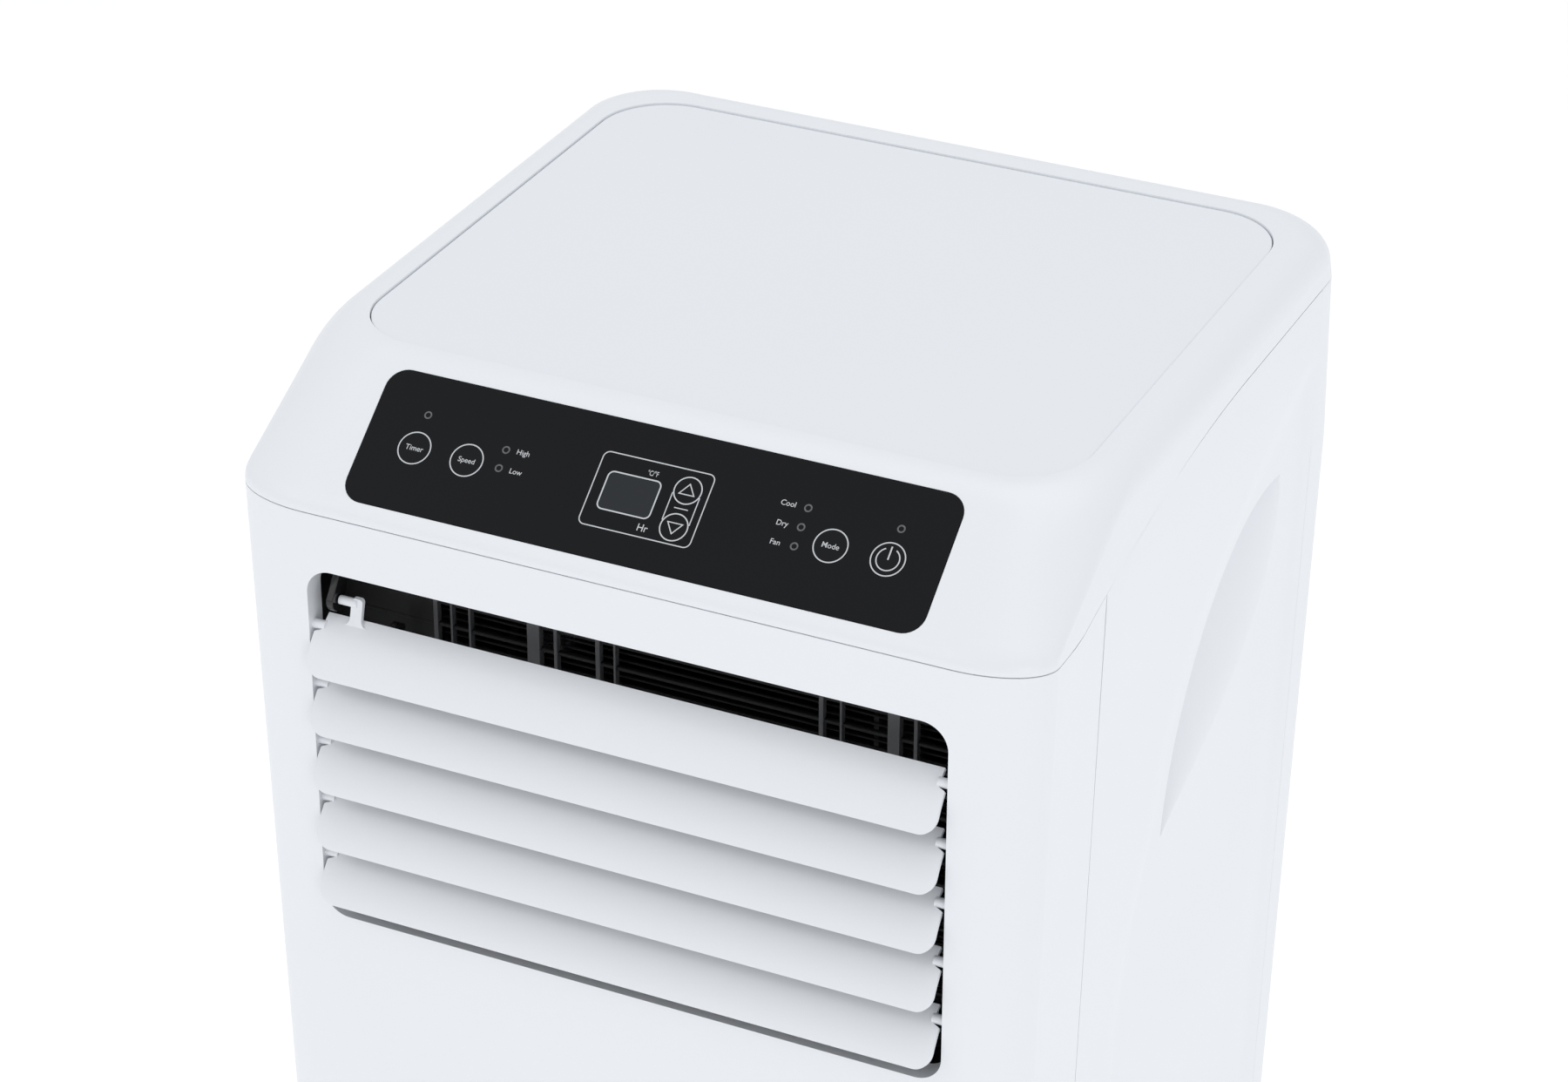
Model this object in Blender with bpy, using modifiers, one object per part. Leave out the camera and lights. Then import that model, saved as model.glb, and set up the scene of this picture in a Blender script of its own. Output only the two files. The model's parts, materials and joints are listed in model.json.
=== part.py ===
"""Portable air conditioner: a tapered floor unit on casters, with a sloping control panel and louvres.

Metres, +Z up. The front faces -Y, the origin is on the floor under the middle of the body.
Depths are measured backwards from the front face, and heights are measured from the front seam, where the
top cover meets the front panel, unless a name says otherwise.
"""

import math

import bmesh
import bpy
from mathutils import Matrix, Vector

# ---------------------------------------------------------------- driving dimensions: the casing
BODY_WIDTH = 0.340
BODY_DEPTH = 0.3335
TOTAL_HEIGHT = 0.700
COVER_RISE = 0.0473  # front seam up to the flat top
GROUND_CLEARANCE = 0.036  # floor to the lower edge of the casing
SIDE_TAPER = math.radians(1.16)  # the sides lean in downwards
REAR_TAPER = math.radians(0.60)
WALL = 0.003
TOP_WALL = 0.0045
PANEL_GAP = 0.0005  # visible joint between two casing panels
SEAT_GAP = 0.0003  # air between a piece and the one it rests on

FRONT_CORNER = (0.035, 0.0185)  # half axes of the front corners, across and back
TOP_FRONT_CORNER = (0.036, 0.050)
REAR_CORNER = 0.019
TOP_REAR_CORNER = 0.035
COVER_LEAN = 0.0012
RIM_RADIUS = 0.013

SLOPE_START = 0.0047  # height where the sloping control face begins
SLOPE_ANGLE = math.radians(38.2)
SEAM_RISE = 0.0262  # how much higher the cover's seam is at the back
SEAM_RISE_DEPTHS = (0.038, 0.213)
FRONT_SPLIT = 0.0635  # depth of the seam between front panel and side panels
REAR_PANEL_DEPTH = 0.0335
REAR_SPLIT = BODY_DEPTH - REAR_PANEL_DEPTH
BASE_HEIGHT = 0.030  # height of the base pan's skirt

# ---------------------------------------------------------------- driving dimensions: top and controls
TOP_PLATE_SIDE_MARGIN = 0.019
TOP_PLATE_BACK_MARGIN = 0.0215
TOP_PLATE_FRONT = 0.062
TOP_PLATE_SIZE = (
    BODY_WIDTH - 2 * TOP_PLATE_SIDE_MARGIN,
    BODY_DEPTH - TOP_PLATE_FRONT - TOP_PLATE_BACK_MARGIN,
)
TOP_PLATE_CORNER = 0.030
TOP_PLATE_THICKNESS = 0.0018
TOP_PLATE_DROP = 0.0009
OVERLAY_SIZE = (0.2413, 0.0570)
OVERLAY_CENTRE = 0.0336  # up the slope from its lower edge
OVERLAY_CORNER = 0.0085
OVERLAY_THICKNESS = 0.0016
OVERLAY_PROUD = 0.0002
OVERLAY_LEDGE = 0.006
KEY_RADIUS = 0.0070
ARROW_KEY_RADIUS = 0.0058
KEY_CLEARANCE = 0.00015
KEY_TRAVEL = 0.0005
KEY_FLANGE = 0.0012
KEYS = {  # name: (across, up the slope, radius)
    "timer_key": (-0.0987, 0.0314, KEY_RADIUS),
    "speed_key": (-0.0760, 0.0314, KEY_RADIUS),
    "up_key": (0.0145, 0.0397, ARROW_KEY_RADIUS),
    "down_key": (0.0145, 0.0244, ARROW_KEY_RADIUS),
    "mode_key": (0.0760, 0.0314, KEY_RADIUS),
    "power_key": (0.0990, 0.0314, KEY_RADIUS),
}
DISPLAY_SIZE = (0.0217, 0.0153)
DISPLAY_CENTRE = (-0.0074, 0.0328)
DISPLAY_CORNER = 0.0022
BOARD_SIZE = (0.215, 0.036)
BOARD_DEPTH = 0.0085  # board's upper face below the slope
BOARD_THICKNESS = 0.0016

# ---------------------------------------------------------------- driving dimensions: outlet and louvres
OUTLET_HALF_WIDTH = 0.135
OUTLET_TOP = -0.0244
OUTLET_CORNER = 0.011
REVEAL_DEPTH = 0.0102
REVEAL_WALL = 0.0030
LOUVRE_COUNT = 5
LOUVRE_PITCH = 0.0265
LOUVRE_PIVOT = (0.0042, -0.0514)  # depth and height of the first pivot
OUTLET_BELOW_PIVOT = 0.0266  # from the last pivot down to the outlet's lower edge
OUTLET_BOTTOM = LOUVRE_PIVOT[1] - LOUVRE_PITCH * (LOUVRE_COUNT - 1) - OUTLET_BELOW_PIVOT
LOUVRE_REST_ANGLE = math.radians(38.7)  # tail forward of vertical
LOUVRE_TAIL = 0.0204
LOUVRE_HEAD = 0.0053
LOUVRE_BOW = 0.0024
LOUVRE_THICKNESS = 0.0018
LOUVRE_HEAD_HALF_WIDTH = OUTLET_HALF_WIDTH - 0.0050
LOUVRE_TAIL_HALF_WIDTH = OUTLET_HALF_WIDTH - 0.0015
LOUVRE_CORNER = 0.0090
LOUVRE_STRIPS = 4  # flat strips that the bowed blade is made of
PIN_RADIUS = 0.0020
PIN_CLEARANCE = 0.00015
LINK_X = -0.1050
LINK_ARM = 0.0110
LINK_WIDTH = 0.0040
LINK_THICKNESS = 0.0020
LINK_PIN_RADIUS = 0.0010
TAB_X = -0.1165
TAB_WIDTH = 0.0070
TAB_RISE = 0.0105
CRANK_AXIS = (0.0172, -0.0250)  # depth and height
CRANK_THICKNESS = 0.0030
CRANK_X = -0.1275
MOTOR_SHAFT_OFFSET = 0.006  # the gear motor's body sits behind its shaft
GRILLE_DEPTHS = (0.0225, 0.0285)
GRILLE_RIBS = (-0.0905, -0.0195, 0.0745)
GRILLE_SLATS = 7
GRILLE_BAR = 0.0022

# ---------------------------------------------------------------- driving dimensions: inside and back
DECK_HEIGHT = 0.440  # above the floor
DECK_THICKNESS = 0.003
TRAY_RIM = 0.018
TRAY_CORNER = 0.004
EVAPORATOR_WHEEL = (0.056, 0.176)  # radius and length
EVAPORATOR_AXIS = (0.125, 0.548)  # depth, and height above the floor
CONDENSER_WHEEL = (0.066, 0.100)
CONDENSER_AXIS = (0.170, 0.352)
WHEEL_BLADES = 14
SCROLL_WALL = 0.002
SCROLL_CLEARANCE = 0.008
MOTOR_RADIUS = 0.036
MOTOR_LENGTH = 0.034
COIL_THICKNESS = 0.040
EVAPORATOR_COIL_FRONT = BODY_DEPTH - 0.0955
CONDENSER_COIL_FRONT = BODY_DEPTH - 0.0775
COIL_WIDTH = 0.240
INTAKE_BARS = 6
FILTER_THICKNESS = 0.005
FILTER_TRAVEL = 0.080
COLLAR_BORE = 0.062
COLLAR_WALL = 0.003
COLLAR_LIP = 0.012  # how far the flange reaches past the bore
COLLAR_FLANGE = COLLAR_BORE + COLLAR_LIP
COLLAR_UNDER_DECK = 0.007
COLLAR_HEIGHT = DECK_HEIGHT - COLLAR_UNDER_DECK - COLLAR_BORE - COLLAR_WALL
COLLAR_LENGTH = 0.036
INTAKE_HALF_WIDTH = 0.120
INTAKE_UNDER_COLLAR = 0.014
UPPER_OPENING = ((-INTAKE_HALF_WIDTH, 0.485), (INTAKE_HALF_WIDTH, 0.650))
LOWER_OPENING = (
    (-INTAKE_HALF_WIDTH, 0.095),
    (INTAKE_HALF_WIDTH, COLLAR_HEIGHT - COLLAR_FLANGE - INTAKE_UNDER_COLLAR),
)
OPENING_CORNER = 0.008
DRAIN_CAP_PLACE = (0.128, 0.320)  # X and height above the floor
DRAIN_PLUG_PLACE = (0.0, 0.050)
GLAND_PLACE = (-0.130, 0.085)
DRAIN_RADIUS = 0.008
DRAIN_HEAD = 0.011
DRAIN_LENGTH = 0.012
GLAND_RADIUS = 0.007
COMPRESSOR_RADIUS = 0.056
COMPRESSOR_PLACE = (0.075, 0.105)  # across, depth
COMPRESSOR_HEIGHT = 0.185
PIPE_RADIUS = 0.004

CASTER_X = BODY_WIDTH / 2 - 0.052
CASTER_DEPTHS = (0.042, BODY_DEPTH - 0.0495)
CASTER_WHEEL = (0.0180, 0.0150)  # radius and width
CASTER_TRAIL = 0.012
CASTER_FORK_WALL = 0.0022
CASTER_SIDE_GAP = 0.0005
AXLE_RADIUS = 0.0025
FLOOR_PLATE = (GROUND_CLEARANCE + 0.0140, GROUND_CLEARANCE + 0.0175)  # lower and upper face
STEM_RADIUS = 0.0040

GRIP_FROM_BACK = 0.0375  # the grip's upper end, forward of the rear panel's seam
GRIP_TIP = (REAR_SPLIT - GRIP_FROM_BACK, -0.0410)  # depth and height
GRIP_TAIL = (GRIP_TIP[0] - 0.1175, -0.1515)
# curve handles of the sharp front edge, then of the soft rear edge
GRIP_EDGE = ((GRIP_TIP[0] - 0.0575, -0.0300), (GRIP_TAIL[0] + 0.0050, -0.0850))
GRIP_SOFT = ((GRIP_TAIL[0] + 0.0250, -0.1400), (GRIP_TIP[0] + 0.0155, -0.1130))
GRIP_DEPTH = 0.026

CORNER_STEPS = 5
ROUND_STEPS = 24
SMALL_STEPS = 12
KEY_STEPS = 20

SEAM_Z = TOTAL_HEIGHT - COVER_RISE
BASE_TOP_Z = GROUND_CLEARANCE + BASE_HEIGHT


def louvre_section(along):
    """Depth and height of the blade's middle surface from its pivot; along is positive towards the tail."""
    whole = LOUVRE_TAIL + LOUVRE_HEAD

    def bulge(at):
        share = (at + LOUVRE_HEAD) / whole
        return LOUVRE_BOW * 4 * share * (1 - share)

    out = bulge(along) - bulge(0.0)
    lean, rise = math.sin(LOUVRE_REST_ANGLE), math.cos(LOUVRE_REST_ANGLE)
    return -lean * along - rise * out, -rise * along + lean * out


# The louvres' tails stand proud of the front face, and the origin is under the middle of the whole box.
LOUVRE_REACH = LOUVRE_THICKNESS / 2 - LOUVRE_PIVOT[0] - louvre_section(LOUVRE_TAIL)[0]
FRONT_Y = (LOUVRE_REACH - BODY_DEPTH) / 2


def place(x, depth, height):
    """A world point from a depth behind the front face and a height above the front seam."""
    return Vector((x, FRONT_Y + depth, SEAM_Z + height))


def from_floor(x, depth, z):
    return Vector((x, FRONT_Y + depth, z))


# ---------------------------------------------------------------- scene, materials
for old in list(bpy.data.objects):
    bpy.data.objects.remove(old, do_unlink=True)

PARTS = bpy.data.collections.new("portable_air_conditioner")
CUTTERS = bpy.data.collections.new("cutters")
for group in (PARTS, CUTTERS):
    bpy.context.scene.collection.children.link(group)


def material(name, colour, roughness, metallic=0.0):
    made = bpy.data.materials.new(name)
    made.use_nodes = True
    shader = made.node_tree.nodes["Principled BSDF"]
    shader.inputs["Base Color"].default_value = (*colour, 1.0)
    shader.inputs["Roughness"].default_value = roughness
    shader.inputs["Metallic"].default_value = metallic
    return made


WHITE = material("white_housing", (0.80, 0.82, 0.84), 0.38)
PLATE = material("top_plate_white", (0.76, 0.78, 0.80), 0.45)
BLACK_GLOSS = material("control_black", (0.012, 0.013, 0.015), 0.18)
KEY_BLACK = material("key_black", (0.014, 0.015, 0.017), 0.20)
LENS = material("display_lens", (0.03, 0.035, 0.04), 0.10)
INNER_BLACK = material("inner_black", (0.010, 0.010, 0.011), 0.35)
GREY = material("grey_plastic", (0.30, 0.31, 0.32), 0.50)
BOARD = material("circuit_board", (0.02, 0.16, 0.08), 0.45)
STEEL = material("bare_steel", (0.55, 0.56, 0.58), 0.35, 1.0)
COPPER = material("copper", (0.85, 0.42, 0.25), 0.30, 1.0)
ALUMINIUM = material("aluminium_fins", (0.75, 0.77, 0.80), 0.40, 1.0)
PAINTED = material("black_paint", (0.02, 0.02, 0.022), 0.45)
RUBBER = material("rubber", (0.03, 0.03, 0.03), 0.75)
FILTER = material("filter_mesh", (0.25, 0.27, 0.30), 0.80)


# ---------------------------------------------------------------- shape helpers
def add(name, mesh, finish, at=None, matrix=None):
    """A part: the mesh in an object of its own, in the parts collection."""
    obj = bpy.data.objects.new(name, mesh)
    PARTS.objects.link(obj)
    mesh.materials.clear()
    mesh.materials.append(finish)
    if at is not None:
        obj.location = at
    if matrix is not None:
        obj.matrix_world = matrix
    return obj


def helper(name, mesh, at=None):
    """A shape that only cuts or joins, so it is left out of the parts."""
    obj = bpy.data.objects.new(name, mesh)
    CUTTERS.objects.link(obj)
    obj.hide_render = True
    obj.display_type = "WIRE"
    if at is not None:
        obj.location = at
    return obj


def boolean(obj, operation, *others):
    for other in others:
        step = obj.modifiers.new(operation.title(), "BOOLEAN")
        step.operation = operation
        step.solver = "EXACT"
        step.object = other
    return obj


def cut(obj, *others):
    return boolean(obj, "DIFFERENCE", *others)


def join(obj, *others):
    return boolean(obj, "UNION", *others)


def finished(form, name):
    """Ends a bmesh: outward normals, one closed mesh."""
    bmesh.ops.recalc_face_normals(form, faces=form.faces)
    mesh = bpy.data.meshes.new(name)
    form.to_mesh(mesh)
    form.free()
    return mesh


def box_mesh(name, low, high):
    low, high = Vector(low), Vector(high)
    form = bmesh.new()
    bmesh.ops.create_cube(form, size=1.0)
    bmesh.ops.scale(form, vec=high - low, verts=form.verts)
    bmesh.ops.translate(form, vec=(high + low) / 2, verts=form.verts)
    return finished(form, name)


def boxes_mesh(name, spans):
    """Several separate boxes in one mesh, for a cutter or a union."""
    form = bmesh.new()
    for low, high in spans:
        low, high = Vector(low), Vector(high)
        made = bmesh.ops.create_cube(form, size=1.0)["verts"]
        bmesh.ops.scale(form, vec=high - low, verts=made)
        bmesh.ops.translate(form, vec=(high + low) / 2, verts=made)
    return finished(form, name)


def rod_mesh(name, rods, steps=SMALL_STEPS):
    """Closed cylinders, each given as start, end, radius."""
    form = bmesh.new()
    for start, end, radius in rods:
        start, end = Vector(start), Vector(end)
        turn = (end - start).to_track_quat("Z", "Y").to_matrix().to_4x4()
        bmesh.ops.create_cone(
            form,
            cap_ends=True,
            segments=steps,
            radius1=radius,
            radius2=radius,
            depth=(end - start).length,
            matrix=Matrix.Translation((start + end) / 2) @ turn,
        )
    return finished(form, name)


def turned(name, profile, finish, at, axis, steps=ROUND_STEPS):
    """A turned shape: (radius, distance along the axis) points, from the top of the outer side downwards."""
    mesh = bpy.data.meshes.new(name)
    points = [(radius, 0.0, along) for radius, along in profile]
    edges = [(i, i + 1) for i in range(len(points) - 1)]
    if profile[0][0] > 0:
        edges.append((len(points) - 1, 0))
    mesh.from_pydata(points, edges, [])
    turn = Vector(axis).to_track_quat("Z", "Y").to_matrix().to_4x4()
    obj = add(name, mesh, finish, matrix=Matrix.Translation(at) @ turn)
    screw = obj.modifiers.new("Screw", "SCREW")
    screw.steps = steps
    screw.render_steps = steps
    screw.use_merge_vertices = True
    screw.merge_threshold = 0.00005
    screw.use_smooth_shade = True
    return obj


def arc(centre, radii, start, end, steps=CORNER_STEPS):
    """Points round part of an ellipse, angles in degrees."""
    angles = [math.radians(start + (end - start) * i / steps) for i in range(steps + 1)]
    return [(centre[0] + radii[0] * math.cos(a), centre[1] + radii[1] * math.sin(a)) for a in angles]


def rounded(low, high, radius, steps=CORNER_STEPS):
    """A rectangle with round corners, anticlockwise."""
    (x0, y0), (x1, y1), r = low, high, (radius, radius)
    return (
        arc((x1 - radius, y0 + radius), r, -90, 0, steps)
        + arc((x1 - radius, y1 - radius), r, 0, 90, steps)
        + arc((x0 + radius, y1 - radius), r, 90, 180, steps)
        + arc((x0 + radius, y0 + radius), r, 180, 270, steps)
    )


def circle(centre, radius, steps=SMALL_STEPS):
    return arc(centre, (radius, radius), 0, 360 - 360 / steps, steps - 1)


def flat_mesh(name, outlines, low, high):
    """A flat outline with any holes, as a filled 2D curve extruded from low to high along its own Z."""
    curve = bpy.data.curves.new(name, "CURVE")
    curve.dimensions = "2D"
    curve.fill_mode = "BOTH"
    curve.extrude = (high - low) / 2
    for outline in outlines:
        spline = curve.splines.new("POLY")
        spline.points.add(len(outline) - 1)
        for point, (x, y) in zip(spline.points, outline):
            point.co = (x, y, 0.0, 1.0)
        spline.use_cyclic_u = True
    drawn = bpy.data.objects.new(name, curve)
    bpy.context.scene.collection.objects.link(drawn)
    graph = bpy.context.evaluated_depsgraph_get()
    mesh = bpy.data.meshes.new_from_object(drawn.evaluated_get(graph))
    bpy.data.objects.remove(drawn, do_unlink=True)
    bpy.data.curves.remove(curve)
    form = bmesh.new()
    form.from_mesh(mesh)
    bpy.data.meshes.remove(mesh)
    bmesh.ops.remove_doubles(form, verts=form.verts, dist=0.000002)
    bmesh.ops.translate(form, vec=(0, 0, (high + low) / 2), verts=form.verts)
    return finished(form, name)


# Local X and Y of a flat outline become these world directions; its thickness runs along the third.
ACROSS_UP = Matrix(((1, 0, 0), (0, 0, -1), (0, 1, 0))).to_4x4()  # X, Z; thickness towards the front
BACK_UP = Matrix(((0, 0, 1), (1, 0, 0), (0, 1, 0))).to_4x4()  # Y, Z; thickness towards +X


def across_up_mesh(name, outlines, front_depth, back_depth):
    """Outline in X and world Z, solid from one depth behind the front face to another."""
    mesh = flat_mesh(name, outlines, -(FRONT_Y + back_depth), -(FRONT_Y + front_depth))
    mesh.transform(ACROSS_UP)
    return mesh


def back_up_mesh(name, outlines, low_x, high_x):
    """Outline in world Y and Z, solid between two X."""
    mesh = flat_mesh(name, outlines, low_x, high_x)
    mesh.transform(BACK_UP)
    return mesh


def cubic(a, b, c, d, steps):
    """Points along a cubic Bezier curve, its last point left out."""
    made = []
    for i in range(steps):
        t = i / steps
        s = 1 - t
        made.append(
            tuple(s**3 * a[k] + 3 * s * s * t * b[k] + 3 * s * t * t * c[k] + t**3 * d[k] for k in (0, 1))
        )
    return made


# ---------------------------------------------------------------- the casing's outer form
def front_depth(height, wall):
    """How far back the front face is at a height: upright, then sloping."""
    upright = wall
    sloping = (height - SLOPE_START) / math.tan(SLOPE_ANGLE) + wall / math.sin(SLOPE_ANGLE)
    return max(upright, sloping)


def casing_section(height, inset, wall):
    """The casing's outline at one height, as X and depth, anticlockwise from the front left."""
    share = max(0.0, min(1.0, (height - SLOPE_START) / (COVER_RISE - SLOPE_START)))
    below = min(height, 0.0)
    half = BODY_WIDTH / 2 + below * math.tan(SIDE_TAPER) - COVER_LEAN * share - inset - wall
    back = BODY_DEPTH + below * math.tan(REAR_TAPER) - inset - wall
    front = front_depth(height, wall)
    soften = inset / 2 + wall
    across = FRONT_CORNER[0] + (TOP_FRONT_CORNER[0] - FRONT_CORNER[0]) * share - soften
    along = FRONT_CORNER[1] + (TOP_FRONT_CORNER[1] - FRONT_CORNER[1]) * share - soften
    rear = REAR_CORNER + (TOP_REAR_CORNER - REAR_CORNER) * share - soften
    return (
        arc((-half + across, front + along), (across, along), 180, 270)
        + arc((half - across, front + along), (across, along), 270, 360)
        + arc((half - rear, back - rear), (rear, rear), 0, 90)
        + arc((-half + rear, back - rear), (rear, rear), 90, 180)
    )


def casing_mesh(name, wall, lowest):
    """The casing as one closed form, outer when wall is 0, or the space inside it."""
    rise = COVER_RISE - (TOP_WALL if wall else 0.0)
    rim = RIM_RADIUS - wall
    straight = [lowest, 0.0, SLOPE_START]
    straight += [SLOPE_START + (rise - rim - SLOPE_START) * i / 4 for i in (1, 2, 3, 4)]
    levels = [(height, 0.0) for height in straight]
    for i in range(1, 6):
        turn = math.radians(90 * i / 5)
        levels.append((rise - rim + rim * math.sin(turn), rim * (1 - math.cos(turn))))
    form = bmesh.new()
    rings = []
    for height, inset in levels:
        outline = casing_section(height, inset, wall)
        rings.append([form.verts.new(place(x, depth, height)) for x, depth in outline])
    for low, high in zip(rings, rings[1:]):
        for i in range(len(low)):
            j = (i + 1) % len(low)
            form.faces.new((low[i], low[j], high[j], high[i]))
    form.faces.new(rings[0][::-1])
    form.faces.new(rings[-1])
    bmesh.ops.triangulate(form, faces=form.faces)
    return finished(form, name)


def seam_height(depth):
    """The cover's seam: level at the front, then rising towards the back and levelling out."""
    start, end = SEAM_RISE_DEPTHS
    share = max(0.0, min(1.0, (depth - start) / (end - start)))
    return SEAM_RISE * (1 - (1 - share) ** 2)


def seam_points(first, last, offset):
    """The seam between two depths, as world Y and Z."""
    start, end = SEAM_RISE_DEPTHS
    bends = [start + (end - start) * i / 10 for i in range(11)]
    depths = [first] + [d for d in bends if first < d < last] + [last]
    return [(FRONT_Y + d, SEAM_Z + seam_height(d) + offset) for d in depths]


OUTER = helper("casing_outer", casing_mesh("casing_outer", 0.0, GROUND_CLEARANCE - SEAM_Z))
INNER = helper("casing_inner", casing_mesh("casing_inner", WALL, GROUND_CLEARANCE - SEAM_Z - 0.010))
FAR = 0.25  # well past any face of the casing


def casing_piece(name, finish, depths, low_z, xs=(-FAR, FAR)):
    """The part of the casing's wall below the seam and between two depths."""
    first, last = depths
    outline = [(FRONT_Y + first, low_z)] + [(FRONT_Y + last, low_z)]
    outline += seam_points(first, last, -PANEL_GAP / 2)[::-1]
    zone = helper(name + "_zone", back_up_mesh(name + "_zone", [outline], *xs))
    piece = add(name, OUTER.data.copy(), finish)
    boolean(piece, "INTERSECT", zone)
    return cut(piece, INNER)


# ---------------------------------------------------------------- top cover and top plate
def slope_matrix():
    """Local X across, local Y up the sloping face, local Z out of it, from the slope's lower edge."""
    up = Vector((0, math.cos(SLOPE_ANGLE), math.sin(SLOPE_ANGLE)))
    out = Vector((0, -math.sin(SLOPE_ANGLE), math.cos(SLOPE_ANGLE)))
    turn = Matrix((Vector((1, 0, 0)), up, out)).transposed().to_4x4()
    return Matrix.Translation(place(0, 0, SLOPE_START)) @ turn


SLOPE = slope_matrix()
OVERLAY_TOP = OVERLAY_PROUD
OVERLAY_UNDER = OVERLAY_PROUD - OVERLAY_THICKNESS


def overlay_outline(grow):
    half, tall = OVERLAY_SIZE[0] / 2 + grow, OVERLAY_SIZE[1] / 2 + grow
    return rounded(
        (-half, OVERLAY_CENTRE - tall), (half, OVERLAY_CENTRE + tall), OVERLAY_CORNER + grow
    )


def plate_outline(grow):
    half = TOP_PLATE_SIZE[0] / 2 + grow
    low = FRONT_Y + TOP_PLATE_FRONT - grow
    high = FRONT_Y + TOP_PLATE_FRONT + TOP_PLATE_SIZE[1] + grow
    return rounded((-half, low), (half, high), TOP_PLATE_CORNER + grow, 8)


def make_top_cover():
    outline = seam_points(-0.05, BODY_DEPTH + 0.05, PANEL_GAP / 2)
    outline += [(outline[-1][0], TOTAL_HEIGHT + 0.05), (outline[0][0], TOTAL_HEIGHT + 0.05)]
    zone = helper("cover_zone", back_up_mesh("cover_zone", [outline], -FAR, FAR))
    cover = add("top_cover", OUTER.data.copy(), WHITE)
    boolean(cover, "INTERSECT", zone)
    cut(cover, INNER)
    floor = TOTAL_HEIGHT - TOP_PLATE_DROP - TOP_PLATE_THICKNESS - SEAT_GAP
    pocket = flat_mesh("plate_pocket", [plate_outline(PANEL_GAP)], floor, TOTAL_HEIGHT + 0.01)
    seat = flat_mesh(
        "overlay_seat", [overlay_outline(SEAT_GAP)], OVERLAY_UNDER - SEAT_GAP, 0.02
    )
    window = flat_mesh("overlay_window", [overlay_outline(-OVERLAY_LEDGE)], -0.012, 0.02)
    for mesh in (seat, window):
        mesh.transform(SLOPE)
    cut(cover, helper("plate_pocket", pocket), helper("overlay_seat", seat))
    return cut(cover, helper("overlay_window", window))


def make_top_plate():
    high = TOTAL_HEIGHT - TOP_PLATE_DROP
    mesh = flat_mesh("top_plate", [plate_outline(0.0)], high - TOP_PLATE_THICKNESS, high)
    return add("top_plate", mesh, PLATE)


# ---------------------------------------------------------------- controls
def make_controls():
    left, low = DISPLAY_CENTRE[0] - DISPLAY_SIZE[0] / 2, DISPLAY_CENTRE[1] - DISPLAY_SIZE[1] / 2
    right, high = left + DISPLAY_SIZE[0], low + DISPLAY_SIZE[1]
    gap = KEY_CLEARANCE
    window = rounded((left - gap, low - gap), (right + gap, high + gap), DISPLAY_CORNER + gap, 4)
    holes = [circle((x, y), radius + gap, KEY_STEPS) for x, y, radius in KEYS.values()]
    overlay = flat_mesh(
        "control_overlay", [overlay_outline(0.0), window] + holes, OVERLAY_UNDER, OVERLAY_TOP
    )
    add("control_overlay", overlay, BLACK_GLOSS, matrix=SLOPE)
    lens = flat_mesh(
        "display_window",
        [rounded((left, low), (right, high), DISPLAY_CORNER, 4)],
        OVERLAY_UNDER - 0.0004,
        OVERLAY_TOP - 0.0001,
    )
    add("display_window", lens, LENS, matrix=SLOPE)
    flange_top = OVERLAY_UNDER - SEAT_GAP
    flange_low = flange_top - 0.0010
    for name, (x, y, radius) in KEYS.items():
        profile = [
            (0, OVERLAY_TOP),
            (radius, OVERLAY_TOP),
            (radius, flange_top),
            (radius + KEY_FLANGE, flange_top),
            (radius + KEY_FLANGE, flange_low),
            (0, flange_low),
        ]
        key = turned(name, profile, KEY_BLACK, (0, 0, 0), (0, 0, 1), KEY_STEPS)
        key.matrix_world = SLOPE @ Matrix.Translation((x, y, 0))
    make_board(flange_low)


def make_board(key_bottom):
    """The circuit board under the keys, with a switch under each and the display behind the window."""
    half, tall = BOARD_SIZE[0] / 2, BOARD_SIZE[1] / 2
    middle = OVERLAY_CENTRE - 0.002
    top = -BOARD_DEPTH
    mesh = box_mesh(
        "control_board", (-half, middle - tall, top - BOARD_THICKNESS), (half, middle + tall, top)
    )
    board = add("control_board", mesh, BOARD, matrix=SLOPE)
    switch_top = key_bottom - KEY_TRAVEL - SEAT_GAP
    blocks = [
        ((x - 0.003, y - 0.003, top - 0.0005), (x + 0.003, y + 0.003, switch_top))
        for x, y, radius in KEYS.values()
    ]
    x, y = DISPLAY_CENTRE
    wide, tall = DISPLAY_SIZE[0] / 2 - 0.001, DISPLAY_SIZE[1] / 2 - 0.001
    display_top = OVERLAY_UNDER - 0.0004 - SEAT_GAP
    blocks.append(((x - wide, y - tall, top - 0.0005), (x + wide, y + tall, display_top)))
    extras = boxes_mesh("board_parts", blocks)
    extras.transform(SLOPE)
    return join(board, helper("board_parts", extras))


# ---------------------------------------------------------------- front panel
def outlet_outline(grow):
    half = OUTLET_HALF_WIDTH + grow
    low, high = SEAM_Z + OUTLET_BOTTOM - grow, SEAM_Z + OUTLET_TOP + grow
    return rounded((-half, low), (half, high), OUTLET_CORNER + grow)


def pivot(index):
    """World place of a louvre's pivot axis, at X = 0."""
    depth, height = LOUVRE_PIVOT
    return place(0, depth, height - LOUVRE_PITCH * index)


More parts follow.
